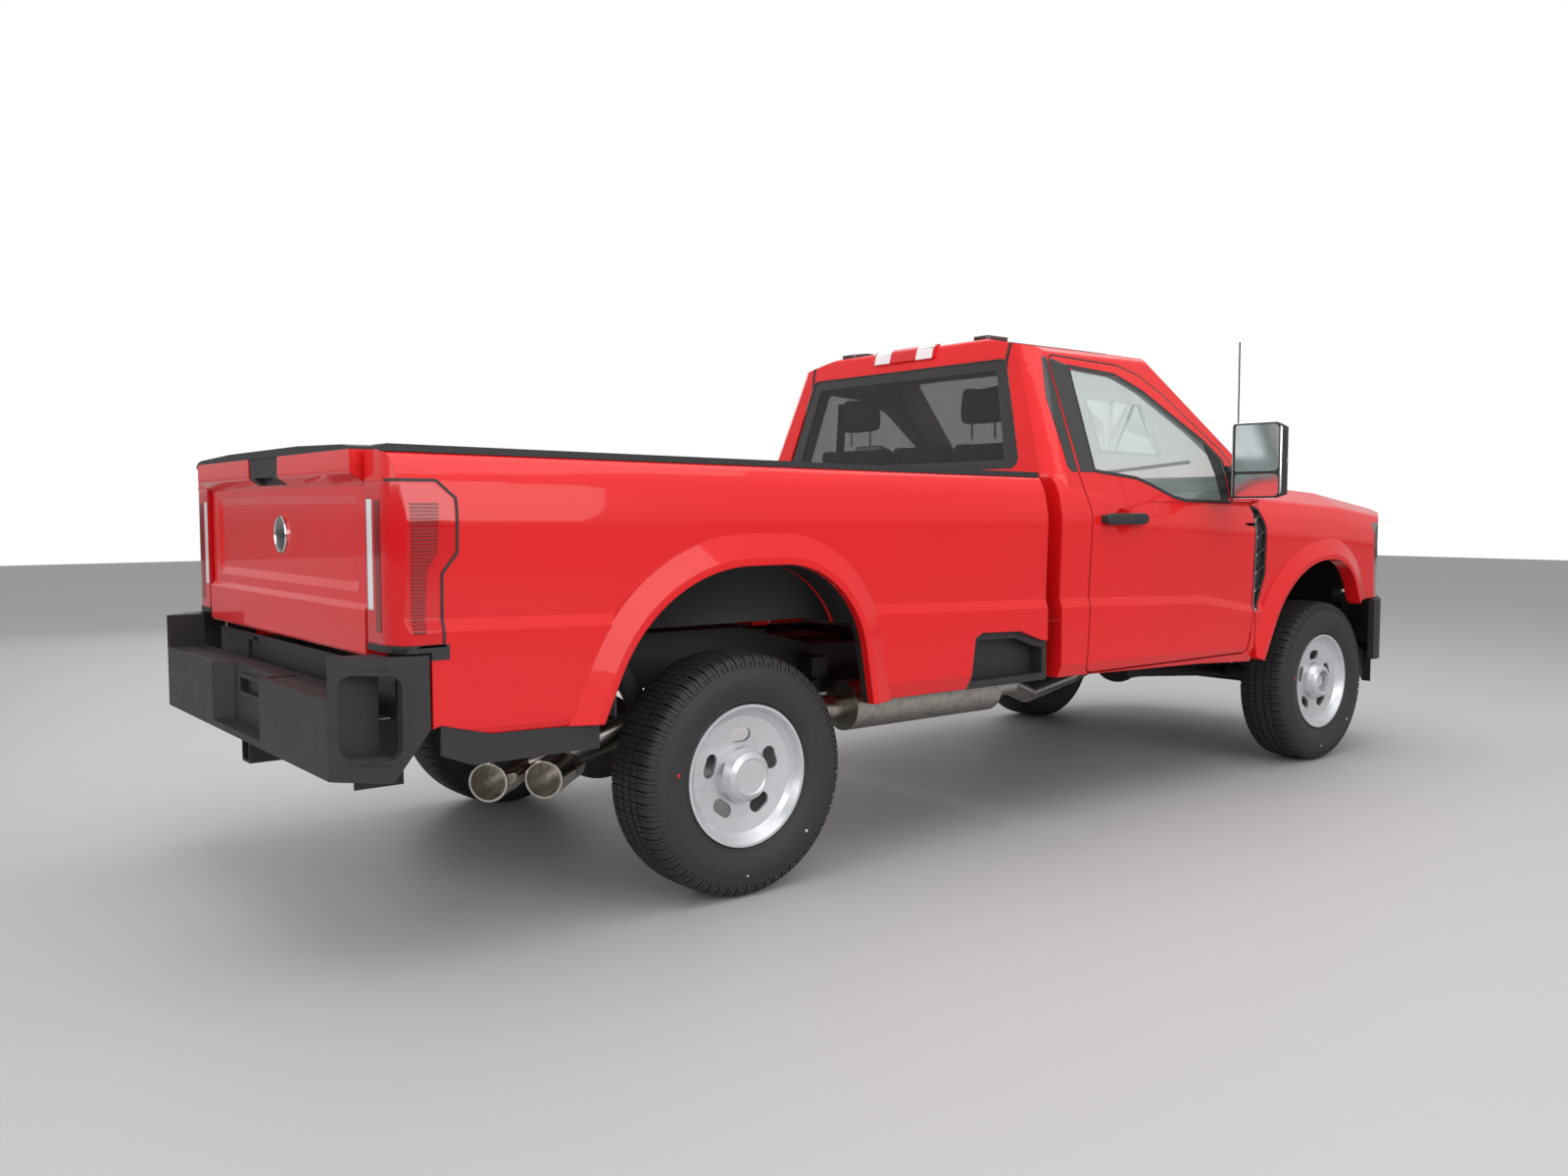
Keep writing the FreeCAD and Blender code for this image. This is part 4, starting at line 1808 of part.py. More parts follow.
def front_structure():
    """The radiator and its support between the rails, behind the grille."""
    front = half_length - size.grille_front_setback - size.grille_depth - size.seat_clearance
    half = grille_half_width - size.panel_gap
    foot = rail_top + rail_rise(FRAME_RAIL_SHARES[-1][0]) + size.seat_clearance
    return block(front - size.radiator_depth, front, -half, half, foot, size.grille_top)


def cowl_panel():
    half = hood_half_width
    nose = half_length * CABIN_SIDE_SHARES[-1][0]
    return block(nose + size.seat_clearance, hood_rear_edge - size.cowl_gap, -half, half,
                 size.cowl_low, size.cowl_low + size.cowl_height)


def both_sides(shape):
    return Part.makeCompound([shape, mirrored(shape)])


right_door = door()
front_axle_piece = front_axle()

FIXED = {
    "ladder_frame": ladder_frame(),
    "cab_shell": cab_shell(),
    "windshield": windshield(),
    "rear_window": rear_window(),
    "cowl_panel": cowl_panel(),
    "dashboard": dashboard(),
    "steering_wheel": steering_wheel(),
    "seat_base": seat_base(),
    "seat_cushions": seat_cushions(),
    "seat_backs": seat_backs(),
    "head_restraints": head_restraints(),
    "fenders": both_sides(fender()),
    "fender_vents": both_sides(fender_vent()),
    "front_structure": front_structure(),
    "grille": grille(),
    "headlamps": both_sides(headlamp()),
    "front_bumper": front_bumper(),
    "bed_shell": bed_shell(),
    "bedsides": both_sides(bedside()),
    "rail_caps": both_sides(rail_cap()),
    "bed_steps": both_sides(bed_step()),
    "bed_valances": both_sides(bed_valance()),
    "tail_lamps": both_sides(tail_lamp()),
    "reverse_lenses": both_sides(reverse_lens()),
    "rear_bumper": rear_bumper(),
    "hitch_receiver": hitch_receiver(),
    "exhaust_system": exhaust_system(),
    "fuel_tank": fuel_tank(),
    "powertrain": powertrain(),
    "driveshafts": driveshafts(),
    "rear_axle": rear_axle(),
    "rear_suspension": rear_suspension(),
    "front_axle": front_axle_piece,
    "front_suspension": front_suspension(),
    "spare_wheel": spare_wheel(),
    "roof_lamps": roof_lamps(),
    "high_mount_lamp": high_mount_lamp(),
    "antenna": antenna(),
    "hood": hood(),
    "tailgate": tailgate(),
    "tailgate_cap": tailgate_cap(),
    "tailgate_handle": tailgate_handle(),
    "tie_rod": tie_rod(),
}
RIGHT = {"door": right_door, "door_glass": door_glass(), "mirror": mirror(), "knuckle": knuckle()}

pieces = [add_piece(name, shape) for name, shape in FIXED.items()]
for name, shape in RIGHT.items():
    pieces.append(add_piece(name + "_right", shape))
    pieces.append(add_piece(name + "_left", mirrored(shape)))

for end, axle_x, track, cap_height, cap_shares in (
        ("front", front_axle_x, front_track, size.front_cap_height, FRONT_CAP_SHARES),
        ("rear", rear_axle_x, rear_track, size.rear_cap_height, REAR_CAP_SHARES)):
    for side_name, side in (("right", -1), ("left", 1)):
        wheel_pieces = [tyre(f"tyre_{end}_{side_name}"),
                        rim(f"rim_{end}_{side_name}", cap_height, cap_shares)]
        for piece in wheel_pieces:
            place_wheel(piece, axle_x, track, side)
        pieces.extend(wheel_pieces)

document.recompute()
os.makedirs("parts", exist_ok=True)
for piece in document.Objects:
    if "Invalid" in piece.State or "Error" in piece.State:
        raise ValueError(f"{piece.Label} did not build")
faulty = [piece.Label for piece in pieces if piece.Shape.isNull() or not piece.Shape.isValid()]
if faulty:
    raise ValueError(f"no valid shape: {faulty}")
for piece in pieces:
    piece.Shape.exportStep(f"parts/{piece.Label}.step")
print(len(pieces), "pieces written")
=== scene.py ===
# %% [markdown]
# # A heavy pickup truck in red
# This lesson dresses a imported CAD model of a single-cab pickup. The solids already have
# the truck's size, its panels and its joints, so they stay where they are. Blender adds
# paint, rubber, glass and the small things that a CAD model leaves out.

# %% Tools and the fixed frame
import json
import math

import bmesh
import bpy
from mathutils import Matrix, Vector


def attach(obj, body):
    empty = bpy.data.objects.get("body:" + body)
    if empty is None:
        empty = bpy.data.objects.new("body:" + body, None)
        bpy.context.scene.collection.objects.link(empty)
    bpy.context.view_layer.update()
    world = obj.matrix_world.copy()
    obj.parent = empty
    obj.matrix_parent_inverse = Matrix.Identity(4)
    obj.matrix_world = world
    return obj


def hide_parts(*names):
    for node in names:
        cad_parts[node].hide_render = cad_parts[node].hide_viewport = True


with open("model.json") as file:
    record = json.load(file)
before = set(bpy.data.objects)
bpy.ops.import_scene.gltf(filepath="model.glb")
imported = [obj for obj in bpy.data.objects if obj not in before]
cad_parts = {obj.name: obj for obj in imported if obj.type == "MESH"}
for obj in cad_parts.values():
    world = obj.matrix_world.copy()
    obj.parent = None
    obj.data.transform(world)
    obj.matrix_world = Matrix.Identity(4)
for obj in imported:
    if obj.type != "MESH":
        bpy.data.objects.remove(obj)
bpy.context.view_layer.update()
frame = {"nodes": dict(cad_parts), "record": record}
scene = bpy.context.scene
scene.view_settings.view_transform = "Standard"
print("nodes in the frame:", len(frame["nodes"]))

# %% [markdown]
# ## The camera
# The photograph was taken from behind the right rear corner, with a wide lens at about
# chest height. The camera is built from the direction it looks in, so that its place can
# be read straight off the measured numbers.

# %% Camera
LENS_MM = 28.87
EYE = Vector((-4.058, -4.189, 1.262))
LOOK = Vector((0.6236, 0.7793, -0.0619)).normalized()
ROLL = math.radians(-0.11)

level_right = LOOK.cross(Vector((0, 0, 1))).normalized()
level_up = level_right.cross(LOOK)
right = level_right * math.cos(ROLL) + level_up * math.sin(ROLL)
up = right.cross(LOOK)
camera = bpy.data.objects.new("camera", bpy.data.cameras.new("camera"))
camera.data.lens = LENS_MM
camera.data.clip_end = 100
camera.matrix_world = Matrix.Translation(EYE) @ Matrix((right, up, -LOOK)).transposed().to_4x4()
scene.collection.objects.link(camera)
scene.camera = camera
print("camera looks from", tuple(EYE))

# %% [markdown]
# ## Floor and light
# A plain pale floor catches the shadow, and large soft lamps above and around the truck
# light it evenly. The world is white to the eye and through glass. To everything else it
# is pale above the horizon and dark below, so the lower body keeps its deep colour.

# %% Shader helpers
def feed(tree, socket, value):
    """Links a socket to another one, or gives it a plain value."""
    if isinstance(value, bpy.types.NodeSocket):
        tree.links.new(value, socket)
    else:
        socket.default_value = value


def add_node(tree, kind, **values):
    """Adds a node and sets its properties and its named inputs."""
    node = tree.nodes.new(kind)
    for key, value in values.items():
        name = key.replace("_", " ")
        socket = next((s for s in node.inputs if s.name.lower() == name and s.enabled), None)
        if socket is None:
            setattr(node, key, value)
        else:
            feed(tree, socket, value)
    return node


def math_node(tree, operation, *values):
    """The result of a math node whose inputs are given in order."""
    node = add_node(tree, "ShaderNodeMath", operation=operation)
    for socket, value in zip(node.inputs, values):
        feed(tree, socket, value)
    return node.outputs[0]


def new_material(name, color, **sockets):
    """A material with one Principled shader whose even values sit on its own sockets."""
    material = bpy.data.materials.new(name)
    material.use_nodes = True
    material.diffuse_color = (*color, 1)
    shader = material.node_tree.nodes["Principled BSDF"]
    shader.inputs["Base Color"].default_value = (*color, 1)
    for key, value in sockets.items():
        shader.inputs[key.replace("_", " ").title().replace("Ior", "IOR")].default_value = value
    return material


# %% World, lamps and floor
DARK_BELOW, PALE_ABOVE = 0.12, 0.60
HORIZON = (-0.01, 0.05)
FLOOR_REACH = 30


def open_world():
    world = bpy.data.worlds.new("studio")
    scene.world = world
    world.use_nodes = True
    tree = world.node_tree
    path = add_node(tree, "ShaderNodeLightPath")
    seen = math_node(tree, "MAXIMUM", path.outputs["Is Camera Ray"], path.outputs["Is Transmission Ray"])
    way = add_node(tree, "ShaderNodeTexCoord").outputs["Generated"]
    height = add_node(tree, "ShaderNodeSeparateXYZ", vector=way)
    wall = add_node(tree, "ShaderNodeMapRange", value=height.outputs["Z"], from_min=HORIZON[0],
                    from_max=HORIZON[1], to_min=DARK_BELOW, to_max=PALE_ABOVE)
    background = tree.nodes["Background"]
    background.inputs["Color"].default_value = (1, 1, 1, 1)
    feed(tree, background.inputs["Strength"], math_node(tree, "MAXIMUM", seen, wall.outputs[0]))


def soft_lamp(name, place, aim, size, watts):
    lamp = bpy.data.lights.new(name, "AREA")
    lamp.shape = "RECTANGLE"
    lamp.size, lamp.size_y = size
    lamp.energy = watts
    holder = bpy.data.objects.new(name, lamp)
    holder.location = place
    holder.rotation_euler = (Vector(aim) - Vector(place)).to_track_quat("-Z", "Y").to_euler()
    scene.collection.objects.link(holder)


def pale_floor():
    mesh = bmesh.new()
    bmesh.ops.create_grid(mesh, x_segments=1, y_segments=1, size=FLOOR_REACH)
    floor = bpy.data.objects.new("floor", bpy.data.meshes.new("floor"))
    mesh.to_mesh(floor.data)
    mesh.free()
    scene.collection.objects.link(floor)
    floor.data.materials.append(new_material("pale_floor", (0.42, 0.42, 0.43), roughness=0.55))


open_world()
soft_lamp("ceiling", (0.5, -0.5, 6.5), (0, 0, 0.8), (11, 8), 450)
soft_lamp("right_wall", (-1.5, -8.5, 3.6), (0, 0, 0.9), (9, 4), 275)
soft_lamp("rear_wall", (-9.0, -1.5, 3.4), (0, 0, 0.9), (6, 4), 190)
soft_lamp("left_wall", (2.0, 9.0, 3.6), (0, 0, 0.9), (9, 4), 140)
pale_floor()

# %% [markdown]
# ## Surface effects
# Several finishes share the same small effects, so each effect is one node group: the
# ripple in a coat of paint, the grain pressed into moulded plastic, the blotches on bare
# metal and the weave of cloth. A group only puts out colours, roughness or normals, and
# the shader stays in the material.

# %% Parts of the groups
RESULTS = {"Color": "NodeSocketColor", "Roughness": "NodeSocketFloat", "Normal": "NodeSocketVector"}


def shader_group(name, results, **inputs):
    """An empty group with its results and with inputs that are numbers or colours."""
    tree = bpy.data.node_groups.new(name, "ShaderNodeTree")
    for title, value in inputs.items():
        kind = "NodeSocketColor" if isinstance(value, tuple) else "NodeSocketFloat"
        tree.interface.new_socket(name=title, in_out="INPUT", socket_type=kind).default_value = value
    for title in results:
        tree.interface.new_socket(name=title, in_out="OUTPUT", socket_type=RESULTS[title])
    return tree, tree.nodes.new("NodeGroupInput").outputs, tree.nodes.new("NodeGroupOutput").inputs


def place_group(material, effect, **values):
    """Puts a group in a material and joins its outputs to the shader by name."""
    tree = material.node_tree
    group = tree.nodes.new("ShaderNodeGroup")
    group.node_tree = effect
    for key, value in values.items():
        group.inputs[key.replace("_", " ").capitalize()].default_value = value
    for output in group.outputs:
        target = {"Color": "Base Color"}.get(output.name, output.name)
        tree.links.new(output, tree.nodes["Principled BSDF"].inputs[target])


def mixed(tree, factor, first, second, blend="MIX"):
    """A colour mix of two sockets or plain colours."""
    node = tree.nodes.new("ShaderNodeMix")
    node.data_type = "RGBA"
    node.blend_type = blend
    for socket, value in zip((node.inputs[0], node.inputs[6], node.inputs[7]), (factor, first, second)):
        feed(tree, socket, value)
    return node.outputs[2]


def shaded(tree, color, factor, dark, bright):
    """A colour made a little darker here and a little brighter there."""
    shade = mixed(tree, factor, (dark, dark, dark, 1), (bright, bright, bright, 1))
    return mixed(tree, 1.0, color, shade, "MULTIPLY")


def noise(tree, place, scale, detail):
    return add_node(tree, "ShaderNodeTexNoise", vector=place, scale=scale, detail=detail).outputs["Fac"]


def bumps(tree, height, **values):
    return add_node(tree, "ShaderNodeBump", height=height, **values).outputs["Normal"]


def object_place(tree):
    return add_node(tree, "ShaderNodeTexCoord").outputs["Object"]


# %% Node groups
def paint_group():
    tree, start, end = shader_group("paint_film", ("Color", "Normal"), Color=(1, 0, 0, 1), Ripple=0.02)
    place = object_place(tree)
    cloud = noise(tree, place, 1.3, 2.0)
    feed(tree, end["Color"], shaded(tree, start["Color"], cloud, 0.93, 1.05))
    soft_edge = add_node(tree, "ShaderNodeBevel", samples=4, radius=0.010).outputs[0]
    feed(tree, end["Normal"], bumps(tree, noise(tree, place, 160.0, 1.0), strength=start["Ripple"],
                                    distance=0.001, normal=soft_edge))
    return tree


def grain_group():
    tree, start, end = shader_group("moulded_grain", RESULTS, Color=(0.03, 0.03, 0.03, 1), Scale=700.0,
                                    Depth=0.3, Shine=0.5)
    place = object_place(tree)
    cells = add_node(tree, "ShaderNodeTexVoronoi", vector=place, feature="F1", scale=start["Scale"])
    feed(tree, end["Normal"], bumps(tree, cells.outputs["Distance"], strength=start["Depth"],
                                    distance=0.0006))
    smudge = noise(tree, place, 7.0, 4.0)
    feed(tree, end["Roughness"], math_node(tree, "MULTIPLY_ADD", smudge, 0.22, start["Shine"]))
    feed(tree, end["Color"], shaded(tree, start["Color"], smudge, 0.85, 1.2))
    return tree


def metal_group():
    tree, start, end = shader_group("worked_metal", RESULTS, Color=(0.6, 0.6, 0.6, 1),
                                    Grime=(0.1, 0.09, 0.08, 1), Amount=0.2, Shine=0.25, Scale=30.0)
    place = object_place(tree)
    blotch = noise(tree, place, start["Scale"], 6.0)
    mask = add_node(tree, "ShaderNodeMapRange", value=blotch, from_min=0.45, from_max=0.75)
    amount = math_node(tree, "MULTIPLY", mask.outputs[0], start["Amount"])
    feed(tree, end["Color"], mixed(tree, amount, start["Color"], start["Grime"]))
    feed(tree, end["Roughness"], math_node(tree, "MULTIPLY_ADD", blotch, 0.2, start["Shine"]))
    feed(tree, end["Normal"], bumps(tree, noise(tree, place, 420.0, 2.0), strength=0.12, distance=0.0008))
    return tree


def weave_group():
    tree, start, end = shader_group("woven_cloth", RESULTS, Color=(0.3, 0.3, 0.3, 1), Scale=260.0)
    place = object_place(tree)
    waves = [add_node(tree, "ShaderNodeTexWave", vector=place, bands_direction=way, scale=start["Scale"])
             for way in ("Y", "DIAGONAL")]
    threads = math_node(tree, "MULTIPLY", *[wave.outputs["Fac"] for wave in waves])
    feed(tree, end["Color"], shaded(tree, start["Color"], threads, 0.7, 1.15))
    rough = add_node(tree, "ShaderNodeMapRange", value=threads, to_min=0.95, to_max=0.8)
    feed(tree, end["Roughness"], rough.outputs[0])
    feed(tree, end["Normal"], bumps(tree, threads, strength=0.5, distance=0.001))
    return tree


PAINT, GRAIN, METAL, WEAVE = paint_group(), grain_group(), metal_group(), weave_group()
print("groups:", [tree.name for tree in (PAINT, GRAIN, METAL, WEAVE)])

# %% [markdown]
# ## Finishes
# Each finish is one material with the values of the real thing: bright red paint under a
# clear coat, black textured trim, silver wheel paint, rubber, tinted and clear glass,
# lamp lenses, cloth and the dark parts underneath. Glass gets its clearness from Alpha, so
# that the light of the lamps reaches the seats behind it.

# %% Materials by record slot
def painted(name, color, ripple=0.03, **sockets):
    material = new_material(name, color, **sockets)
    place_group(material, PAINT, color=(*color, 1), ripple=ripple)
    return material


def moulded(name, color, scale=700.0, depth=0.3, shine=0.45, **sockets):
    material = new_material(name, color, **sockets)
    place_group(material, GRAIN, color=(*color, 1), scale=scale, depth=depth, shine=shine)
    return material


def metal(name, color, grime=(0.08, 0.07, 0.06), amount=0.3, shine=0.25, scale=30.0, **sockets):
    material = new_material(name, color, **sockets)
    place_group(material, METAL, color=(*color, 1), grime=(*grime, 1), amount=amount, shine=shine,
                scale=scale)
    return material


def lens(name, color, **sockets):
    """Coloured clear plastic with a little ripple, as moulded lenses have."""
    material = new_material(name, color, roughness=0.06, ior=1.49, coat_weight=0.5, **sockets)
    place_group(material, PAINT, color=(*color, 1), ripple=0.05)
    return material


def woven(name, color, scale=260.0):
    material = new_material(name, color, sheen_weight=0.2)
    place_group(material, WEAVE, color=(*color, 1), scale=scale)
    return material


MATERIALS = {
    "body_paint": painted("red_paint", (0.72, 0.006, 0.008), roughness=0.42, specular_ior_level=0.25,
                          coat_weight=0.75, coat_roughness=0.03, coat_ior=1.4),
    "black_trim": moulded("black_trim", (0.018, 0.018, 0.02)),
    "grille_finish": metal("bright_plating", (0.72, 0.73, 0.74), amount=0.05, shine=0.05, metallic=1.0),
    "clear_lens": lens("clear_lens", (0.80, 0.82, 0.85)),
    "headlamp_glass": lens("headlamp_glass", (0.12, 0.125, 0.135)),
    "red_lens": lens("red_lens", (0.62, 0.006, 0.010)),
    "amber_lens": lens("marker_lens", (0.05, 0.015, 0.01)),
    "window_glass": painted("clear_glass", (0.42, 0.52, 0.50), ripple=0.0, roughness=0.02, alpha=0.24,
                            ior=1.5),
    "dark_glass": painted("dark_glass", (0.02, 0.024, 0.027), ripple=0.0, roughness=0.02, alpha=0.55,
                          ior=1.5),
    "dash_plastic": moulded("dash_plastic", (0.07, 0.07, 0.075), scale=500.0),
    "seat_fabric": woven("seat_cloth", (0.16, 0.16, 0.17)),
    "seat_mount": moulded("seat_mount", (0.04, 0.04, 0.04)),
    "tyre_rubber": moulded("tyre_rubber", (0.022, 0.022, 0.024), scale=300.0, depth=0.25, shine=0.55),
    "wheel_silver": metal("silver_paint", (0.62, 0.63, 0.65), amount=0.1, shine=0.22, metallic=0.55,
                          coat_weight=0.4),
    "frame_black": moulded("frame_black", (0.015, 0.015, 0.015), scale=120.0, shine=0.4),
    "axle_iron": metal("axle_iron", (0.06, 0.058, 0.055), amount=0.5, shine=0.5, metallic=0.4),
    "shaft_steel": metal("bare_steel", (0.45, 0.42, 0.38), amount=0.4, shine=0.2, metallic=1.0),
    "engine_metal": metal("cast_metal", (0.25, 0.25, 0.25), amount=0.5, shine=0.45, metallic=0.6),
    "gloss_black": painted("gloss_black", (0.012, 0.012, 0.014), roughness=0.25, coat_weight=0.6,
                           coat_roughness=0.05),
    "blank_paper": painted("blank_paper", (0.80, 0.81, 0.82), roughness=0.8),
    "white_lens": lens("white_lens", (0.86, 0.87, 0.88)),
    "deep_red_lens": lens("deep_red_lens", (0.22, 0.003, 0.005)),
    "lamp_inner": metal("lamp_inner", (0.75, 0.76, 0.78), amount=0.0, shine=0.05, metallic=0.8),
    "headliner": woven("headliner", (0.30, 0.30, 0.29)),
    "belt_webbing": woven("belt_webbing", (0.03, 0.03, 0.032)),
    "mirror_silver": metal("mirror_silver", (0.82, 0.84, 0.86), amount=0.0, shine=-0.05, metallic=1.0),
    "bright_edge": metal("bright_edge", (0.60, 0.61, 0.62), amount=0.05, shine=0.1, metallic=0.9),
    "polished_steel": metal("polished_steel", (0.72, 0.68, 0.60), amount=0.1, shine=0.02, metallic=1.0),
    "pad_grey": moulded("pad_grey", (0.06, 0.055, 0.055)),
}


def dress_nodes():
    """Gives each CAD node its slot's finish. The headlamps are darker than the other clear lenses."""
    slots = {row["node"]: row["material_slot"] for row in frame["record"]["subparts"]}
    slots["headlamps"] = "headlamp_glass"
    for name, node in frame["nodes"].items():
        node.data.materials.clear()
        node.data.materials.append(MATERIALS[slots[name]])
    return len(slots)


print("nodes dressed:", dress_nodes())

# %% [markdown]
# ## How small pieces are made
# Three kinds of mesh cover nearly all the trim: an outline carried along an axis, a
# profile turned about a line, and a thin skin that copies part of a panel and sits on it.
# The skin is cut out of a merged copy of the panel's mesh, so it follows every curve.

# %% Mesh makers
UNIT = (Vector((1, 0, 0)), Vector((0, 1, 0)), Vector((0, 0, 1)))
SIDES = {"right": -1, "left": 1}


def finished(name, mesh, finishes, body, angle=35, closed=True):
    """Turns a mesh in the making into a shaded piece that rides on a body."""
    if closed:
        bmesh.ops.recalc_face_normals(mesh, faces=mesh.faces)
    data = bpy.data.meshes.new(name)
    mesh.to_mesh(data)
    mesh.free()
    for polygon in data.polygons:
        polygon.use_smooth = True
    data.set_sharp_from_angle(angle=math.radians(angle))
    for finish in finishes if isinstance(finishes, list) else [finishes]:
        data.materials.append(MATERIALS[finish])
    piece = bpy.data.objects.new(name, data)
    scene.collection.objects.link(piece)
    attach(piece, body)
    return piece


def spread(point, axis, level):
    """A flat point in space, at a level along the axis that its plane lies across."""
    first, second = point
    return Vector(((level, first, second), (first, level, second), (first, second, level))[axis])


def add_prism(mesh, outline, axis, low, high, bevel=0.003, segments=2):
    """An outline carried from low to high, with its edges broken."""
    foot = mesh.faces.new([mesh.verts.new(spread(point, axis, low)) for point in outline])
    carried = bmesh.ops.extrude_face_region(mesh, geom=[foot])["geom"]
    top = [item for item in carried if isinstance(item, bmesh.types.BMVert)]
    bmesh.ops.translate(mesh, verts=top, vec=UNIT[axis] * (high - low))
    faces = list({face for vertex in top + foot.verts[:] for face in vertex.link_faces})
    bmesh.ops.recalc_face_normals(mesh, faces=faces)
    if bevel:
        edges = list({edge for face in faces for edge in face.edges})
        bmesh.ops.bevel(mesh, geom=edges, offset=bevel, segments=segments, profile=0.5, affect="EDGES",
                        clamp_overlap=True, material=-1)


def slab(name, outline, axis, low, high, finish, body, bevel=0.003, segments=2):
    mesh = bmesh.new()
    add_prism(mesh, outline, axis, low, high, bevel, segments)
    return finished(name, mesh, finish, body)


def add_turned(mesh, profile, centre, along, steps=48, closed=False):
    """A profile of (reach, radius) points turned about a line through a centre."""
    along = Vector(along).normalized()
    across = along.orthogonal().normalized()
    verts = [mesh.verts.new(Vector(centre) + along * reach + across * radius) for reach, radius in profile]
    edges = [mesh.edges.new(pair) for pair in zip(verts, verts[1:] + (verts[:1] if closed else []))]
    bmesh.ops.spin(mesh, geom=verts + edges, cent=centre, axis=along, angle=math.tau, steps=steps,
                   use_merge=True)
    bmesh.ops.remove_doubles(mesh, verts=mesh.verts, dist=1e-5)


def turned(name, profile, centre, along, finish, body, steps=48, angle=35, closed=False):
    mesh = bmesh.new()
    add_turned(mesh, profile, centre, along, steps, closed)
    return finished(name, mesh, finish, body, angle)


print("mesh makers ready")

# %% Skins cut from a panel
def inside(point, outline):
    """Whether a flat point lies within an outline."""
    hit = False
    for (x0, y0), (x1, y1) in zip(outline, outline[1:] + outline[:1]):
        if (y0 > point[1]) != (y1 > point[1]):
            hit ^= point[0] < x0 + (point[1] - y0) * (x1 - x0) / (y1 - y0)
    return hit


def bisect(mesh, place, normal, **choices):
    bmesh.ops.bisect_plane(mesh, geom=mesh.verts[:] + mesh.edges[:] + mesh.faces[:], plane_co=place,
                           plane_no=normal, **choices)


def panel_copy(node, low, high):
    """A merged copy of a panel's mesh, cut down to a box to keep it light."""
    mesh = bmesh.new()
    mesh.from_mesh(frame["nodes"][node].data)
    bmesh.ops.remove_doubles(mesh, verts=mesh.verts, dist=1e-5)
    for axis in range(3):
        for limit, sign in ((low[axis], -1), (high[axis], 1)):
            if limit is not None:
                bisect(mesh, UNIT[axis] * limit, UNIT[axis] * sign, clear_outer=True)
    return mesh


def cut_outline(mesh, outline, axis):
    """Cuts a mesh along every edge of an outline seen down an axis."""
    for first, second in zip(outline, outline[1:] + outline[:1]):
        start, end = spread(first, axis, 0), spread(second, axis, 0)
        bisect(mesh, start, (end - start).cross(UNIT[axis]))


def lift_skin(mesh, lift):
    """Raises a cut-out skin off its panel and closes it down to the panel."""
    mesh.normal_update()
    normals = {vertex: vertex.normal.copy() for vertex in mesh.verts}
    for vertex, normal in normals.items():
        vertex.co += normal * lift
    bmesh.ops.solidify(mesh, geom=mesh.faces[:], thickness=lift)


def skin(name, node, outline, axis, side, finish, body, lift=0.0015, hole=None, near=None, facing=0.25):
    """A thin skin over the part of a panel that lies within an outline and faces one way."""
    limits = [spread([pick(point[index] for point in outline) for index in (0, 1)], axis, 0)
              for pick in (min, max)]
    low, high = [[None if index == axis else limit[index] for index in range(3)] for limit in limits]
    if near:
        low[axis], high[axis] = min(near), max(near)
    mesh = panel_copy(node, low, high)
    cut_outline(mesh, outline, axis)
    if hole:
        cut_outline(mesh, hole, axis)

    def wanted(face):
        flat = [face.calc_center_median()[index] for index in range(3) if index != axis]
        covered = inside(flat, outline) and not (hole and inside(flat, hole))
        return face.normal[axis] * side > facing and covered

    mesh.normal_update()
    bmesh.ops.delete(mesh, geom=[face for face in mesh.faces if not wanted(face)], context="FACES")
    lift_skin(mesh, lift)
    return finished(name, mesh, finish, body)


def skin_pair(name, node, outline, finish, body, near=None, **choices):
    """The same skin on both sides of the vehicle."""
    for word, side in SIDES.items():
        skin(f"{name}_{word}", node.format(word), outline, 1, side, finish, body.format(word),
             near=near and (side * near[0], side * near[1]), **choices)


def lining(name, node, middle, low, high, finishes, body, facing=0.12, level=None):
    """A skin over the faces of a node that look toward a point, with a second finish below a level."""
    mesh = panel_copy(node, low, high)
    if level is not None:
        bisect(mesh, UNIT[2] * level, UNIT[2])
    mesh.normal_update()
    bmesh.ops.delete(mesh, context="FACES", geom=[
        face for face in mesh.faces
        if face.normal.dot((middle - face.calc_center_median()).normalized()) < facing])
    for face in mesh.faces:
        face.material_index = int(level is not None and face.calc_center_median().z < level)
    lift_skin(mesh, 0.0012)
    return finished(name, mesh, finishes, body)


print("skins ready")

# %% [markdown]
# ## Tyres
# Each plain CAD tyre is replaced by one with a real section: a bead, a rim guard, a bulged
# wall with fine rings, and a buttress under the tread. The tread is laid on in 62 pitches.
# Every block is a short strip of stations across the tyre, so its ends can zigzag, and the
# narrow gaps between neighbours are the sipes.

# %% Tread and walls
PITCHES = 62
HALF_SECTION = [(0.0948, 0.2185), (0.0948, 0.2345), (0.1005, 0.2375), (0.1065, 0.2425), (0.1085, 0.2465),
                (0.1075, 0.2495), (0.1135, 0.2620), (0.1195, 0.2790), (0.1225, 0.2970), (0.1235, 0.3120),
                (0.1228, 0.3180), (0.1238, 0.3195), (0.1226, 0.3210), (0.1205, 0.3380), (0.1196, 0.3395),
                (0.1200, 0.3408), (0.1165, 0.3540), (0.1125, 0.3635), (0.1060, 0.3780), (0.0980, 0.3845),
                (0.0600, 0.3885), (0.0000, 0.3900)]
SHOULDER = [((0.0610, 0.3984), (0.0610, 0.3875)), ((0.0800, 0.3962), (0.0800, 0.3860)),
            ((0.0970, 0.3928), (0.0965, 0.3838)), ((0.1080, 0.3842), (0.1040, 0.3790)),
            ((0.1148, 0.3705), (0.1115, 0.3645)), ((0.1178, 0.3580), (0.1160, 0.3545))]


def station(across):
    """The top and the foot of a block at a distance from the middle of the tread."""
    crown = 0.3995 - 0.3 * across ** 2
    return (across, crown), (across, crown - 0.0102)


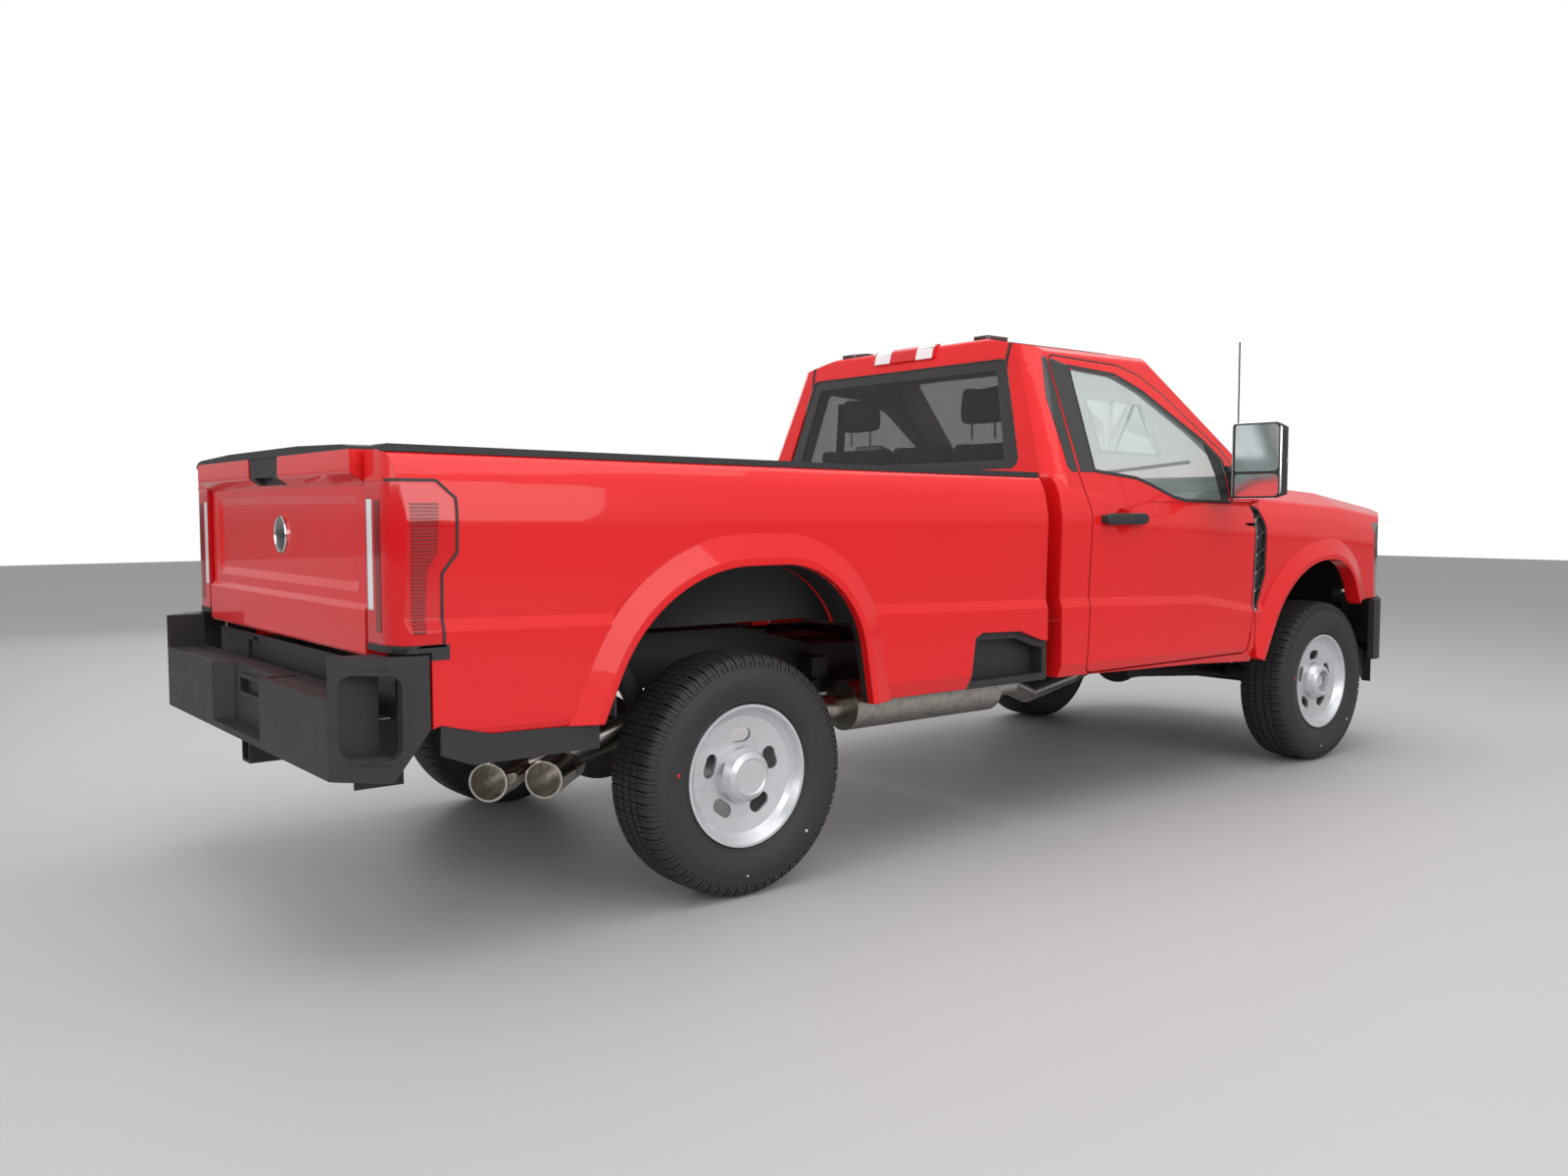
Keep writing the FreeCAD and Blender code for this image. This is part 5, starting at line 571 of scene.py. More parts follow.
def tread_blocks():
    """Every block of one pitch: the side it is on, and its rows across the tread."""
    blocks = []
    for side in (-1, 1):
        for start, inner, outer in ((0.02, 0.0240, 0.0545), (0.50, 0.0262, 0.0566)):
            rows = [(station(inner + (outer - inner) * step / 3), start + zig, start + 0.42 + zig)
                    for step, zig in enumerate((0.00, 0.06, 0.01, 0.07))]
            blocks.append((side, rows))
        for start, last in ((0.06, 6), (0.37, 5), (0.63, 6)):
            rows = [(spots, start + slant, start + 0.24 + slant)
                    for spots, slant in zip(SHOULDER[:last], (0.0, 0.04, 0.05, 0.05, 0.05, 0.05))]
            blocks.append((side, rows))
    for start, skew in ((0.02, 0.0), (0.52, 0.002)):
        rows = [(station(place + skew), start + zig, start + 0.44 + zig)
                for place, zig in zip((-0.0175, -0.006, 0.006, 0.0165), (0.00, 0.07, 0.01, 0.08))]
        blocks.append((1, rows))
    return blocks


def add_block(mesh, side, rows):
    """One block, as a chain of four-cornered stations with its two ends closed."""
    rings = []
    for (top, foot), start, end in rows:
        ring = []
        for (across, radius), share in ((top, start), (top, end), (foot, end), (foot, start)):
            turn = math.tau * share / PITCHES
            ring.append(mesh.verts.new((radius * math.cos(turn), across * side, radius * math.sin(turn))))
        rings.append(ring)
    for near, far in zip(rings, rings[1:]):
        for index in range(4):
            mesh.faces.new((near[index], near[index - 1], far[index - 1], far[index]))
    mesh.faces.new(rings[0])
    mesh.faces.new(rings[-1][::-1])


def tyre_mesh():
    """One pitch of blocks, copied round the tyre, over a turned wall."""
    mesh = bmesh.new()
    for side, rows in tread_blocks():
        add_block(mesh, side, rows)
    bmesh.ops.spin(mesh, geom=mesh.verts[:] + mesh.edges[:] + mesh.faces[:], cent=(0, 0, 0), axis=(0, 1, 0),
                   angle=math.tau * (PITCHES - 1) / PITCHES, steps=PITCHES - 1, use_duplicate=True)
    section = HALF_SECTION + [(-across, radius) for across, radius in HALF_SECTION[-2::-1]]
    add_turned(mesh, section, (0, 0, 0), (0, 1, 0), steps=PITCHES * 2, closed=True)
    bmesh.ops.recalc_face_normals(mesh, faces=mesh.faces)
    return mesh


WHEELS = {"front_right": (1.974, -0.8675), "front_left": (1.974, 0.8675),
          "rear_right": (-1.623, -0.8535), "rear_left": (-1.623, 0.8535)}
AXLE_HEIGHT = 0.3995


def fit_tyres():
    pattern = tyre_mesh()
    for place, (along, across) in WHEELS.items():
        mesh = pattern.copy()
        bmesh.ops.translate(mesh, verts=mesh.verts, vec=(along, across, AXLE_HEIGHT))
        tyre = finished(f"tyre_tread_{place}", mesh, "tyre_rubber", f"wheel_{place}", angle=28, closed=False)
        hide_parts(f"tyre_{place}")
    print("faces in a tyre:", len(tyre.data.polygons))
    pattern.free()


fit_tyres()

# %% [markdown]
# ## Paint marks on the tyres
# New tyres carry small dots of paint on the outer wall. Each dot is a low turned button
# that sits on the wall at its radius, so it rides round with the wheel.

# %% Paint marks
TYRE_MARKS = {"red_mark": (0.285, 172, 0.1208, 0.0070, "body_paint"),
              "white_mark": (0.315, -43, 0.1232, 0.0055, "blank_paper"),
              "white_dot": (0.325, -93, 0.1222, 0.0040, "blank_paper")}
MARK_HEIGHT = 0.002
MARK_SEAT = 0.0008


def tyre_mark(name, place, radius, turn, across, size, finish):
    """A button of paint at a radius and an angle on the outer wall of one tyre."""
    along, middle = WHEELS[place]
    side = SIDES[place.split("_")[1]]
    angle = math.radians(turn)
    centre = (along + radius * math.cos(angle), middle + side * (across - MARK_SEAT),
              AXLE_HEIGHT + radius * math.sin(angle))
    button = [(0, 0), (0, size), (MARK_HEIGHT * 0.6, size), (MARK_HEIGHT, size * 0.8), (MARK_HEIGHT, 0)]
    turned(name, button, centre, (0, side, 0), finish, f"wheel_{place}", steps=20)


for place in WHEELS:
    for kind, mark in TYRE_MARKS.items():
        tyre_mark(f"{kind}_{place}", place, *mark)
print("tyre marks done")

# %% [markdown]
# ## Black panels behind the rear wheels
# A black panel hangs behind each rear wheel, like a splash guard. It reaches inward past the
# tyre, so the gap behind the wheel shows black: that part is painted shade, standing in for
# the shade under the box. It is a plain outline carried through its thickness.

# %% Black panels behind the rear wheels, partly painted shade
SPLASH_AND_SHADE_WALL = (-2.106, -2.098)
SPLASH_AND_SHADE_OUTLINE = [(0.600, 0.640), (0.930, 0.640), (0.930, 0.880), (0.600, 0.880)]
# The panels reach inward past the tyres, so the gap behind each wheel is black: painted shade.
for word, side in SIDES.items():
    slab(f"splash_and_shade_panel_{word}", [(side * y, z) for y, z in SPLASH_AND_SHADE_OUTLINE], 0, *SPLASH_AND_SHADE_WALL, "black_trim", "chassis",
         bevel=0.001)
print("splash panels done")

# %% [markdown]
# ## Black trim on the cabin
# The side windows have a black surround, and the pillar behind them is black on the door
# and on the cab. Each of these is a skin over the painted panel. Outlines are written in
# millimetres as seen from the side.

# %% Pillars, window surrounds and mirror corner
def metres(*points):
    return [(first / 1000, second / 1000) for first, second in points]


def grown(outline, reach):
    """An outline moved outward by a distance, or inward by a negative one."""
    pairs = list(zip(outline, outline[1:] + outline[:1]))
    turn = 1 if sum(x0 * y1 - x1 * y0 for (x0, y0), (x1, y1) in pairs) > 0 else -1
    result = []
    for index, point in enumerate(outline):
        lines = [(Vector(end) - Vector(start)).normalized()
                 for start, end in (pairs[index - 1], pairs[index])]
        sides = [Vector((line.y, -line.x)) * turn for line in lines]
        middle = (sides[0] + sides[1]).normalized()
        result.append(tuple(Vector(point) + middle * reach / max(0.4, middle.dot(sides[0]))))
    return result


WINDOW = metres((175, 1426), (201, 1855), (499, 1838), (663, 1776), (1020, 1566), (1120, 1480), (1130, 1300),
                (780, 1306), (693, 1320), (554, 1368), (447, 1400))
DOOR_PILLAR = metres((76, 1892), (205, 1862), (201, 1855), (175, 1426), (178, 1414), (75, 1414))
CAB_PILLAR = metres((47, 1893), (66, 1893), (57, 1420), (57, 1414), (20, 1414), (0, 1438), (3, 1568),
                    (8, 1720))
SAIL = metres((1030, 1572), (1120, 1490), (1130, 1300), (1068, 1300))
SHEET = metres((266, 1729), (651, 1718), (677, 1495), (272, 1505))

skin_pair("window_surround", "door_{}", grown(WINDOW, 0.013), "black_trim", "door_{}", hole=WINDOW,
          near=(0.70, 1.00), lift=0.002)
skin_pair("door_pillar_trim", "door_{}", DOOR_PILLAR, "gloss_black", "door_{}", near=(0.70, 1.00))
skin_pair("cab_pillar_trim", "cab_shell", CAB_PILLAR, "gloss_black", "chassis", near=(0.70, 1.00))
skin_pair("mirror_corner", "door_glass_{}", SAIL, "black_trim", "door_{}", near=(0.70, 1.00), lift=0.004)
skin("window_sheet", "door_glass_right", SHEET, 1, 1, "blank_paper", "door_right", near=(-1.0, -0.70))

# %% [markdown]
# The rear window has a printed black border with rounded inner corners. A dark joint runs
# from each of its upper corners over the roof, where the roof meets the body side.

# %% Rear window border, roof joints and the lamps above
GLASS_EDGE = [(-0.80, 1.42), (0.80, 1.42), (0.66, 1.91), (-0.66, 1.91)]
CLEAR_PART = metres((-668, 1478), (-656, 1466), (656, 1466), (668, 1478), (576, 1828), (556, 1846),
                    (-556, 1846), (-576, 1828))
CARGO_LENS = metres((84, 1930), (186, 1930), (186, 2010), (84, 2010))
JOINT = metres((-30, 612), (-30, 630), (0, 641), (40, 657), (620, 652), (620, 640), (50, 644), (10, 630))
skin("rear_glass_border", "rear_window", GLASS_EDGE, 0, -1, "gloss_black", "chassis", hole=CLEAR_PART,
     lift=0.001)
for word, side in SIDES.items():
    skin(f"roof_joint_{word}", "cab_shell", [(x, y * side) for x, y in JOINT], 2, 1, "black_trim",
         "chassis", near=(1.85, 2.05), facing=0.05)
    skin(f"cargo_lens_{word}", "high_mount_lamp", [(y * side, z) for y, z in CARGO_LENS], 0, -1,
         "white_lens", "chassis", lift=0.001)
print("cab trim done")

# %% [markdown]
# ## Handles and mirrors
# A handle is a rounded bar on two feet over its dish. Each mirror has a flat glass above a
# wide-angle one, seated on the beds that the CAD head has for them, and a pale lamp strip.

# %% Door handles, mirror glass and lamp strips
BAR = metres((156, 1222), (162, 1204), (184, 1199), (412, 1199), (431, 1206), (436, 1222), (431, 1240),
             (412, 1246), (184, 1246), (162, 1241))
LOCK = [(0, 0), (0, 0.011), (0.004, 0.011), (0.005, 0.009), (0.005, 0)]
MIRROR_HEAD = [(1.10, 1.30), (1.345, 1.30), (1.345, 1.64), (1.10, 1.64)]
MIRROR_STRIP = metres((952, 1456), (1006, 1456), (1006, 1480), (952, 1480))
VENT_EDGE = metres((1316, 780), (1336, 780), (1336, 1215), (1316, 1215))


def door_fittings(word, side):
    body = f"door_{word}"
    mesh = bmesh.new()
    add_prism(mesh, BAR, 1, side * 1.006, side * 1.028, bevel=0.007, segments=3)
    for start, end in ((160, 204), (396, 432)):
        foot = metres((start, 1207), (end, 1207), (end, 1239), (start, 1239))
        add_prism(mesh, foot, 1, side * 0.980, side * 1.012, bevel=0.004)
    finished(f"handle_{word}", mesh, "black_trim", body)
    turned(f"handle_lock_{word}", LOCK, (0.452, side * 0.988, 1.222), (0, side, 0), "gloss_black", body,
           steps=24)
    skin(f"mirror_glass_{word}", f"mirror_{word}", [(side * y, z) for y, z in MIRROR_HEAD], 0, -1,
         "mirror_silver", body, lift=0.003, near=(0.9040, 0.9080))
    skin(f"mirror_lamp_{word}", f"mirror_{word}", MIRROR_STRIP, 1, side, "white_lens", body,
         near=(side * 1.25, side * 1.345), lift=0.002)


for word, side in SIDES.items():
    door_fittings(word, side)
skin_pair("vent_edge", "fender_vents", VENT_EDGE, "bright_edge", "chassis", near=(0.90, 1.00), lift=0.003)
print("fittings on the doors done")

# %% [markdown]
# ## Inside the rear wheel arches
# The cavity round a rear wheel is darkened with painted shade: a black skin covers the faces
# there that look toward the wheel, and the inner faces of the box side beside it. A shock
# absorber leans between the axle and the frame on each side.

# %% Painted shade inside the rear wheel arches
REAR_AXLE = WHEELS["rear_right"][0]
# Painted shade: black skins over the faces in each rear arch that look toward the wheel.
for word, side in SIDES.items():
    near, far = sorted((side * 0.560, side * 0.986))
    lining(f"rear_arch_shade_{word}", "bed_shell", Vector((REAR_AXLE, side * 0.85, 0.62)),
           [-2.15, near, 0.585], [-1.10, far, 1.17], "frame_black", "chassis", facing=0.05)
    near, far = sorted((side * 0.870, side * 0.986))
    lining(f"rear_side_shade_{word}", "bedsides", Vector((REAR_AXLE, side * 0.30, 0.62)),
           [-2.20, near, 0.560], [-1.05, far, 1.17], "frame_black", "chassis", facing=0.45)
print("liners done")

# %% Rear shock absorbers
SHOCK = [(0, 0), (0, 0.022), (0.03, 0.022), (0.03, 0.030), (0.24, 0.030), (0.24, 0.037), (0.46, 0.037),
         (0.46, 0.016), (0.495, 0.016), (0.495, 0)]
SHOCK_FOOT = (-1.700, 0.625, 0.360)
SHOCK_LEAN = (-0.23, 0, 0.44)
for word, side in SIDES.items():
    along, across, height = SHOCK_FOOT
    turned(f"shock_absorber_{word}", SHOCK, (along, side * across, height), SHOCK_LEAN, "frame_black",
           "chassis", steps=32)
print("shock absorbers done")

# %% [markdown]
# ## Lamps and the tailgate
# The tail lamps are red all through, with darker fins on the side face and a dark column
# at the back. A black gasket frames each lamp, and a black filler closes the gap below it.
# A plain dark disc with a bright rim fills the round place in the middle of the gate.

# %% Tail lamps
LAMP = metres((-2856, 904), (-2673, 904), (-2673, 1095), (-2629, 1151), (-2629, 1294), (-2679, 1340),
              (-2856, 1340))
FINS = metres((-2756, 1297), (-2676, 1297), (-2684, 1152), (-2712, 1105), (-2720, 936), (-2756, 936))
COLUMN = metres((868, 935), (905, 935), (905, 1290), (868, 1290))
FILLER = metres((-2830, 903), (-2655, 903), (-2655, 862), (-2830, 862))
REAR_FILLER = metres((790, 862), (1000, 862), (1000, 903), (790, 903))
FIN_PITCH = 0.0095
FIN_SHARE = 0.45
FIN_LIFT = 0.003


def fin_rows(outline):
    """The slices of an outline that the fins take, one above the other."""
    low, high = min(z for _, z in outline), max(z for _, z in outline)
    for index in range(int((high - low) / FIN_PITCH)):
        yield low + index * FIN_PITCH, low + (index + FIN_SHARE) * FIN_PITCH


def lamp_fins(word, side):
    near, far = sorted((side * 0.9, side * 1.02))
    mesh = panel_copy("tail_lamps", [-2.757, near, 0.936], [-2.675, far, 1.297])
    cut_outline(mesh, FINS, 1)
    rows = list(fin_rows(FINS))
    for low, high in rows:
        for level in (low, high):
            bisect(mesh, UNIT[2] * level, UNIT[2])
    mesh.normal_update()

    def on_fin(face):
        middle = face.calc_center_median()
        return (face.normal.y * side > 0.25 and inside((middle.x, middle.z), FINS)
                and any(low < middle.z < high for low, high in rows))

    bmesh.ops.delete(mesh, context="FACES", geom=[face for face in mesh.faces if not on_fin(face)])
    lift_skin(mesh, FIN_LIFT)
    finished(f"lamp_fins_{word}", mesh, "deep_red_lens", "chassis")


skin_pair("lamp_gasket", "bedsides", grown(LAMP, 0.007), "black_trim", "chassis", hole=LAMP,
          near=(0.90, 1.02))
skin_pair("lamp_filler_side", "bedsides", FILLER, "black_trim", "chassis", near=(0.90, 1.02))
for word, side in SIDES.items():
    lamp_fins(word, side)
    skin(f"lamp_column_{word}", "tail_lamps", [(y * side, z) for y, z in COLUMN], 0, -1,
         "deep_red_lens", "chassis", lift=0.001)
    skin(f"lamp_filler_rear_{word}", "bedsides", [(y * side, z) for y, z in REAR_FILLER], 0, -1, "black_trim",
         "chassis", near=(-2.83, -2.70))
print("tail lamps done")

# %% Disc and ring on the gate
DISC_PLACE = (-2.783, 0, 1.186)
GATE_RING = [(0, 0.061), (0.006, 0.061), (0.009, 0.058), (0.009, 0.055), (0.006, 0.052), (0, 0.052)]
GATE_DISC = [(0, 0), (0, 0.0523), (0.005, 0.0523), (0.0078, 0.030), (0.0085, 0)]
turned("gate_ring", GATE_RING, DISC_PLACE, (-1, 0, 0), "grille_finish", "tailgate", steps=64, closed=True)
turned("gate_disc", GATE_DISC, DISC_PLACE, (-1, 0, 0), "gloss_black", "tailgate", steps=64)
print("disc on the gate done")

# %% [markdown]
# ## Rear bumper and exhaust
# The top pads of the bumper carry rows of small studs, and the corner steps a few ribs, so
# that a shoe grips them. The exhaust tips get polished sleeves with a rolled lip.

# %% Tread studs, step ribs and exhaust tips
def tread_studs(name, places, height, finish, body, radius=0.0042):
    """Low round studs that stand in rows on a flat top."""
    mesh = bmesh.new()
    stud = [(0, 0), (0, radius), (height * 0.7, radius), (height, radius * 0.6), (height, 0)]
    for place in places:
        add_turned(mesh, stud, place, (0, 0, 1), steps=8)
    return finished(name, mesh, finish, body)


def ribs(name, boxes, finish, body, bevel=0.0012):
    """Several small blocks in one piece, each given by two opposite corners."""
    mesh = bmesh.new()
    for (x0, y0, z0), (x1, y1, z1) in boxes:
        add_prism(mesh, [(x0, y0), (x1, y0), (x1, y1), (x0, y1)], 2, z0, z1, bevel, segments=1)
    return finished(name, mesh, finish, body)


STUD_ROWS, STUD_COLUMNS = 4, 25
STUD_PITCH, ROW_PITCH = 0.022, 0.016
STUD_START = (-2.919, 0.290, 0.7575)
for word, side in SIDES.items():
    spots = [(STUD_START[0] + row * ROW_PITCH,
              side * (STUD_START[1] + STUD_PITCH * (column + (row % 2) / 2)), STUD_START[2])
             for row in range(STUD_ROWS) for column in range(STUD_COLUMNS)]
    tread_studs(f"pad_studs_{word}", spots, 0.0028, "pad_grey", "chassis")
    corner_ribs = [0.900 + 0.017 * index for index in range(5)]
    ribs(f"corner_step_ribs_{word}", [((-2.912, side * y, 0.6055), (-2.800, side * (y + 0.007), 0.6090))
         for y in corner_ribs], "black_trim", "chassis")
    bed_ribs = [-0.545 + 0.040 * index for index in range(7)]
    ribs(f"bed_step_ribs_{word}", [((x, side * 0.880, 0.5905), (x + 0.008, side * 0.960, 0.6035))
         for x in bed_ribs], "black_trim", "chassis")
TIP = [(0.004, 0.0525), (0.000, 0.0555), (0.001, 0.0585), (0.006, 0.0598), (0.014, 0.0588), (0.150, 0.0588),
       (0.150, 0.0560), (0.014, 0.0545)]
TIP_PLACES = {"rear": (-2.4582, -0.7978, 0.4652), "front": (-2.2772, -0.7978, 0.4490)}
for name, place in TIP_PLACES.items():
    turned(f"exhaust_tip_{name}", TIP, place, (1, 1, 0), "polished_steel", "chassis", steps=48, closed=True)
print("rear end done")

# %% [markdown]
# ## Inside the cab
# The painted shell gets a lining: pale cloth above the belt line and dark plastic below
# it. The faces that look toward the middle of the cab are the ones to line, and each door
# gets the same on its inner side.

# %% Linings
CAB_MIDDLE = Vector((0.55, 0, 1.40))
BELT = 1.40
LININGS = ["headliner", "dash_plastic"]
lining("cab_lining", "cab_shell", CAB_MIDDLE, [-0.03, -0.93, 0.77], [1.30, 0.93, 1.99], LININGS, "chassis",
       level=BELT)
for word, side in SIDES.items():
    near, far = sorted((side * 0.60, side * 0.945))
    lining(f"door_lining_{word}", f"door_{word}", CAB_MIDDLE, [0.09, near, 0.62], [1.25, far, 1.90], LININGS,
           f"door_{word}", level=BELT)
print("linings done")

# %% [markdown]
# ## Padded seats
# The bench has three cushions and three backs of foam under cloth, and two head pads on
# steel posts. Foam bulges where nothing holds it, which is hard to draw and easy to let
# happen: a rounded block gets an even grid, a cloth simulation puffs it up with pressure,
# and the result is frozen. Sewn channels are pressed in afterwards.

# %% Stuffing and seams
PUFF_FRAMES = 20
PRESSURE = 4.0
SEAM_DEPTH, SEAM_WIDTH = 0.007, 0.011


def even_grid(piece, voxel):
    """Remeshes a piece to small squares of one size, which the simulation needs."""
    remesh = piece.modifiers.new("even_grid", "REMESH")
    remesh.mode, remesh.voxel_size = "VOXEL", voxel
    data = bpy.data.meshes.new_from_object(piece.evaluated_get(bpy.context.evaluated_depsgraph_get()))
    piece.modifiers.clear()
    piece.data = data
    for polygon in data.polygons:
        polygon.use_smooth = True


def puff_up(piece, cap):
    """Puffs a piece up like a stuffed cushion, moving no point farther than the cap."""
    settings = piece.modifiers.new("stuffing", "CLOTH").settings
    settings.use_pressure = True
    settings.uniform_pressure_force = PRESSURE
    settings.effector_weights.gravity = 0
    for moment in range(1, PUFF_FRAMES + 1):
        scene.frame_set(moment)
    result = piece.evaluated_get(bpy.context.evaluated_depsgraph_get()).to_mesh()
    puffed = [vertex.co.copy() for vertex in result.vertices]
    piece.modifiers.clear()
    for vertex, place in zip(piece.data.vertices, puffed):
        move = place - vertex.co
        vertex.co += move * min(1, cap / max(move.length, 1e-6))
    scene.frame_set(1)


def press_seams(piece, axis, levels):
    """Presses sewn channels into a cushion along lines across one axis."""
    normals = [vertex.normal.copy() for vertex in piece.data.vertices]
    for vertex, normal in zip(piece.data.vertices, normals):
        near = min(abs(vertex.co[axis] - level) for level in levels)
        vertex.co -= normal * SEAM_DEPTH * math.exp(-(near / SEAM_WIDTH) ** 2)


def pad(name, outline, low, high, seams, node, cap=0.016, voxel=0.013):
    """One padded piece: a rounded block, remeshed, stuffed, seamed and subdivided once."""
    mesh = bmesh.new()
    add_prism(mesh, outline, 1, low, high, bevel=0.028, segments=4)
    piece = finished(name, mesh, "seat_fabric", "chassis", angle=180)
    even_grid(piece, voxel)
    puff_up(piece, cap)
    for axis, levels in seams:
        press_seams(piece, axis, levels)
    rounder = piece.modifiers.new("rounder", "SUBSURF")
    rounder.levels = rounder.render_levels = 1
    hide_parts(node)


print("ready to stuff")

# %% Cushions, backs and head pads
CUSHION = metres((166, 1008), (166, 898), (640, 892), (652, 1000), (560, 1012))
BACK = metres((160, 1042), (256, 1042), (160, 1568), (66, 1568))
HEAD_PAD = metres((64, 1640), (128, 1640), (134, 1700), (124, 1800), (74, 1800), (60, 1720))
PLACES = {"passenger": (-0.694, -0.214, 0.11), "centre": (-0.178, 0.178, 0.09),
          "driver": (0.214, 0.694, 0.11)}
CUSHION_SEAMS, BACK_SEAMS = (0.30, 0.46), (1.20, 1.38)
for name, (low, high, border) in PLACES.items():
    edges = (1, (low + border, high - border))
    pad(f"cushion_{name}", CUSHION, low, high, [edges, (0, CUSHION_SEAMS)], "seat_cushions")
    pad(f"backrest_{name}", BACK, low, high, [edges, (2, BACK_SEAMS)], "seat_backs")
HEAD_MIDDLE, HEAD_HALF = 0.400, 0.118
POST_OFFSET = 0.0675
POST = [(0, 0), (0, 0.006), (0.085, 0.006), (0.085, 0)]
for word, side in SIDES.items():
    low, high = sorted((side * (HEAD_MIDDLE - HEAD_HALF), side * (HEAD_MIDDLE + HEAD_HALF)))
    pad(f"head_pad_{word}", HEAD_PAD, low, high, [], "head_restraints", cap=0.009, voxel=0.009)
    for offset in (-POST_OFFSET, POST_OFFSET):
        place = "outer" if offset * side > 0 else "inner"
        turned(f"head_post_{word}_{place}", POST, (0.097, side * HEAD_MIDDLE + offset, 1.572), (0, 0, 1),
               "polished_steel", "chassis", steps=16)
print("seats done")

# %% [markdown]
# ## Dashboard, mirror and belts
# Through the glass one sees the screen and the vents on the dashboard, the hub of the
# steering wheel, the mirror under the roof and a belt beside each seat. Small blocks with
# broken edges, a turned hub and thin slabs are enough for them.

# %% Dashboard, mirror and belts
def block(name, low, high, finish, body="chassis", bevel=0.006):
    """A block with broken edges between two opposite corners."""
    outline = [(low[0], low[1]), (high[0], low[1]), (high[0], high[1]), (low[0], high[1])]
    slab(name, outline, 2, low[2], high[2], finish, body, bevel)


block("dash_screen", (0.905, -0.130, 1.165), (0.925, 0.090, 1.300), "gloss_black")
block("instrument_hood", (0.900, 0.240, 1.300), (1.040, 0.560, 1.352), "dash_plastic", bevel=0.02)
VENT_HALF, VENT_ROWS, VENT_PITCH = 0.055, 5, 0.014
for index, across in enumerate((-0.72, -0.24, 0.18, 0.66)):
    bars = [((0.905, across - VENT_HALF, 1.205 + VENT_PITCH * row),
             (0.924, across + VENT_HALF, 1.211 + VENT_PITCH * row)) for row in range(VENT_ROWS)]
    ribs(f"dash_vent_{index}", bars, "gloss_black", "chassis")
block("inner_mirror", (0.790, -0.125, 1.735), (0.812, 0.125, 1.800), "gloss_black", bevel=0.010)
block("inner_mirror_stem", (0.808, -0.012, 1.755), (0.870, 0.012, 1.800), "gloss_black", bevel=0.004)
HUB = [(0, 0), (0, 0.070), (0.018, 0.085), (0.045, 0.080), (0.055, 0.055), (0.058, 0)]
turned("steering_hub", HUB, (0.820, 0.400, 1.205), (-0.90, 0, 0.43), "dash_plastic", "chassis", steps=40)
BELT_STRAP = [(0.742, 1.03), (0.752, 1.03), (0.690, 1.80), (0.680, 1.80)]
for word, side in SIDES.items():
    slab(f"seat_belt_{word}", [(side * y, z) for y, z in BELT_STRAP], 0, 0.205, 0.253, "belt_webbing",
         "chassis", bevel=0.001)
print("cabin done")

# %% [markdown]
# ## Front end
# The photograph shows almost nothing of the front, so the parts there are plain ones that
# such a truck has: two lamp units on each headlamp, fog lamps, tow hooks, crossed wires
# behind the grille's bars and a blank plate holder.

# %% Lamp units, fog lamps and tow hooks
LAMP_UNIT = [(0, 0), (0.001, 0.052), (0.006, 0.056), (0.009, 0.053), (0.005, 0.040), (0.009, 0.024),
             (0.011, 0)]
UNIT_FACE, UNIT_ACROSS, UNIT_HEIGHTS = 2.8505, 0.690, (1.085, 0.955)
SIDE_MARKER = metres((2470, 980), (2640, 980), (2640, 1030), (2470, 1060))
FOG_LAMP = [(-0.004, 0), (-0.004, 0.046), (0.004, 0.050), (0.007, 0.047), (0.005, 0.038), (0.008, 0.020),
            (0.009, 0)]
FOG_PLACE = (2.9290, 0.600, 0.600)
TOE_OUT = 0.08
TOW_HOOK = metres((2840, 470), (2935, 470), (2943, 480), (2943, 520), (2930, 532), (2900, 532), (2900, 516),
                  (2922, 512), (2922, 492), (2840, 492))
HOOK_WALL = (0.330, 0.352)
for word, side in SIDES.items():
    for index, height in enumerate(UNIT_HEIGHTS):
        turned(f"lamp_unit_{word}_{index}", LAMP_UNIT, (UNIT_FACE, side * UNIT_ACROSS, height),
               (1, -side * TOE_OUT, 0), "lamp_inner", "chassis", steps=40)
    skin(f"lamp_marker_{word}", "headlamps", SIDE_MARKER, 1, side, "amber_lens", "chassis",
         near=(side * 0.88, side * 1.0))
    turned(f"fog_lamp_{word}", FOG_LAMP, (FOG_PLACE[0], side * FOG_PLACE[1], FOG_PLACE[2]),
           (1, side * TOE_OUT, 0), "lamp_inner", "chassis")
    slab(f"tow_hook_{word}", TOW_HOOK, 1, side * HOOK_WALL[0], side * HOOK_WALL[1], "frame_black", "chassis",
         bevel=0.004)
print("lamps and hooks done")

# %% Grille wires and plate holder
WIRE_LOW, WIRE_HIGH = 0.835, 1.200
WIRE_PITCH, WIRE_HALF, WIRE_LEAN = 0.026, 0.0018, 0.5
WIRE_FIELD = 0.600
WIRE_WALL = (2.822, 2.825)
LEAN_GAP = 0.001


def grille_wires():
    """Thin slanting wires behind the bars, crossing both ways."""
    mesh = bmesh.new()
    lean_half = (WIRE_HIGH - WIRE_LOW) * WIRE_LEAN / 2
    for index in range(-22, 23):
        for lean in (-1, 1):
            foot, top = index * WIRE_PITCH - lean * lean_half, index * WIRE_PITCH + lean * lean_half
            if max(abs(foot), abs(top)) < WIRE_FIELD:
                wire = [(foot - WIRE_HALF, WIRE_LOW), (foot + WIRE_HALF, WIRE_LOW),
                        (top + WIRE_HALF, WIRE_HIGH), (top - WIRE_HALF, WIRE_HIGH)]
                add_prism(mesh, wire, 0, *(level + lean * LEAN_GAP for level in WIRE_WALL), bevel=0)
    finished("grille_wires", mesh, "gloss_black", "chassis")


grille_wires()
block("front_plate_holder", (2.9405, -0.165, 0.560), (2.9438, 0.165, 0.690), "frame_black", bevel=0.0012)
print("grille wires done")

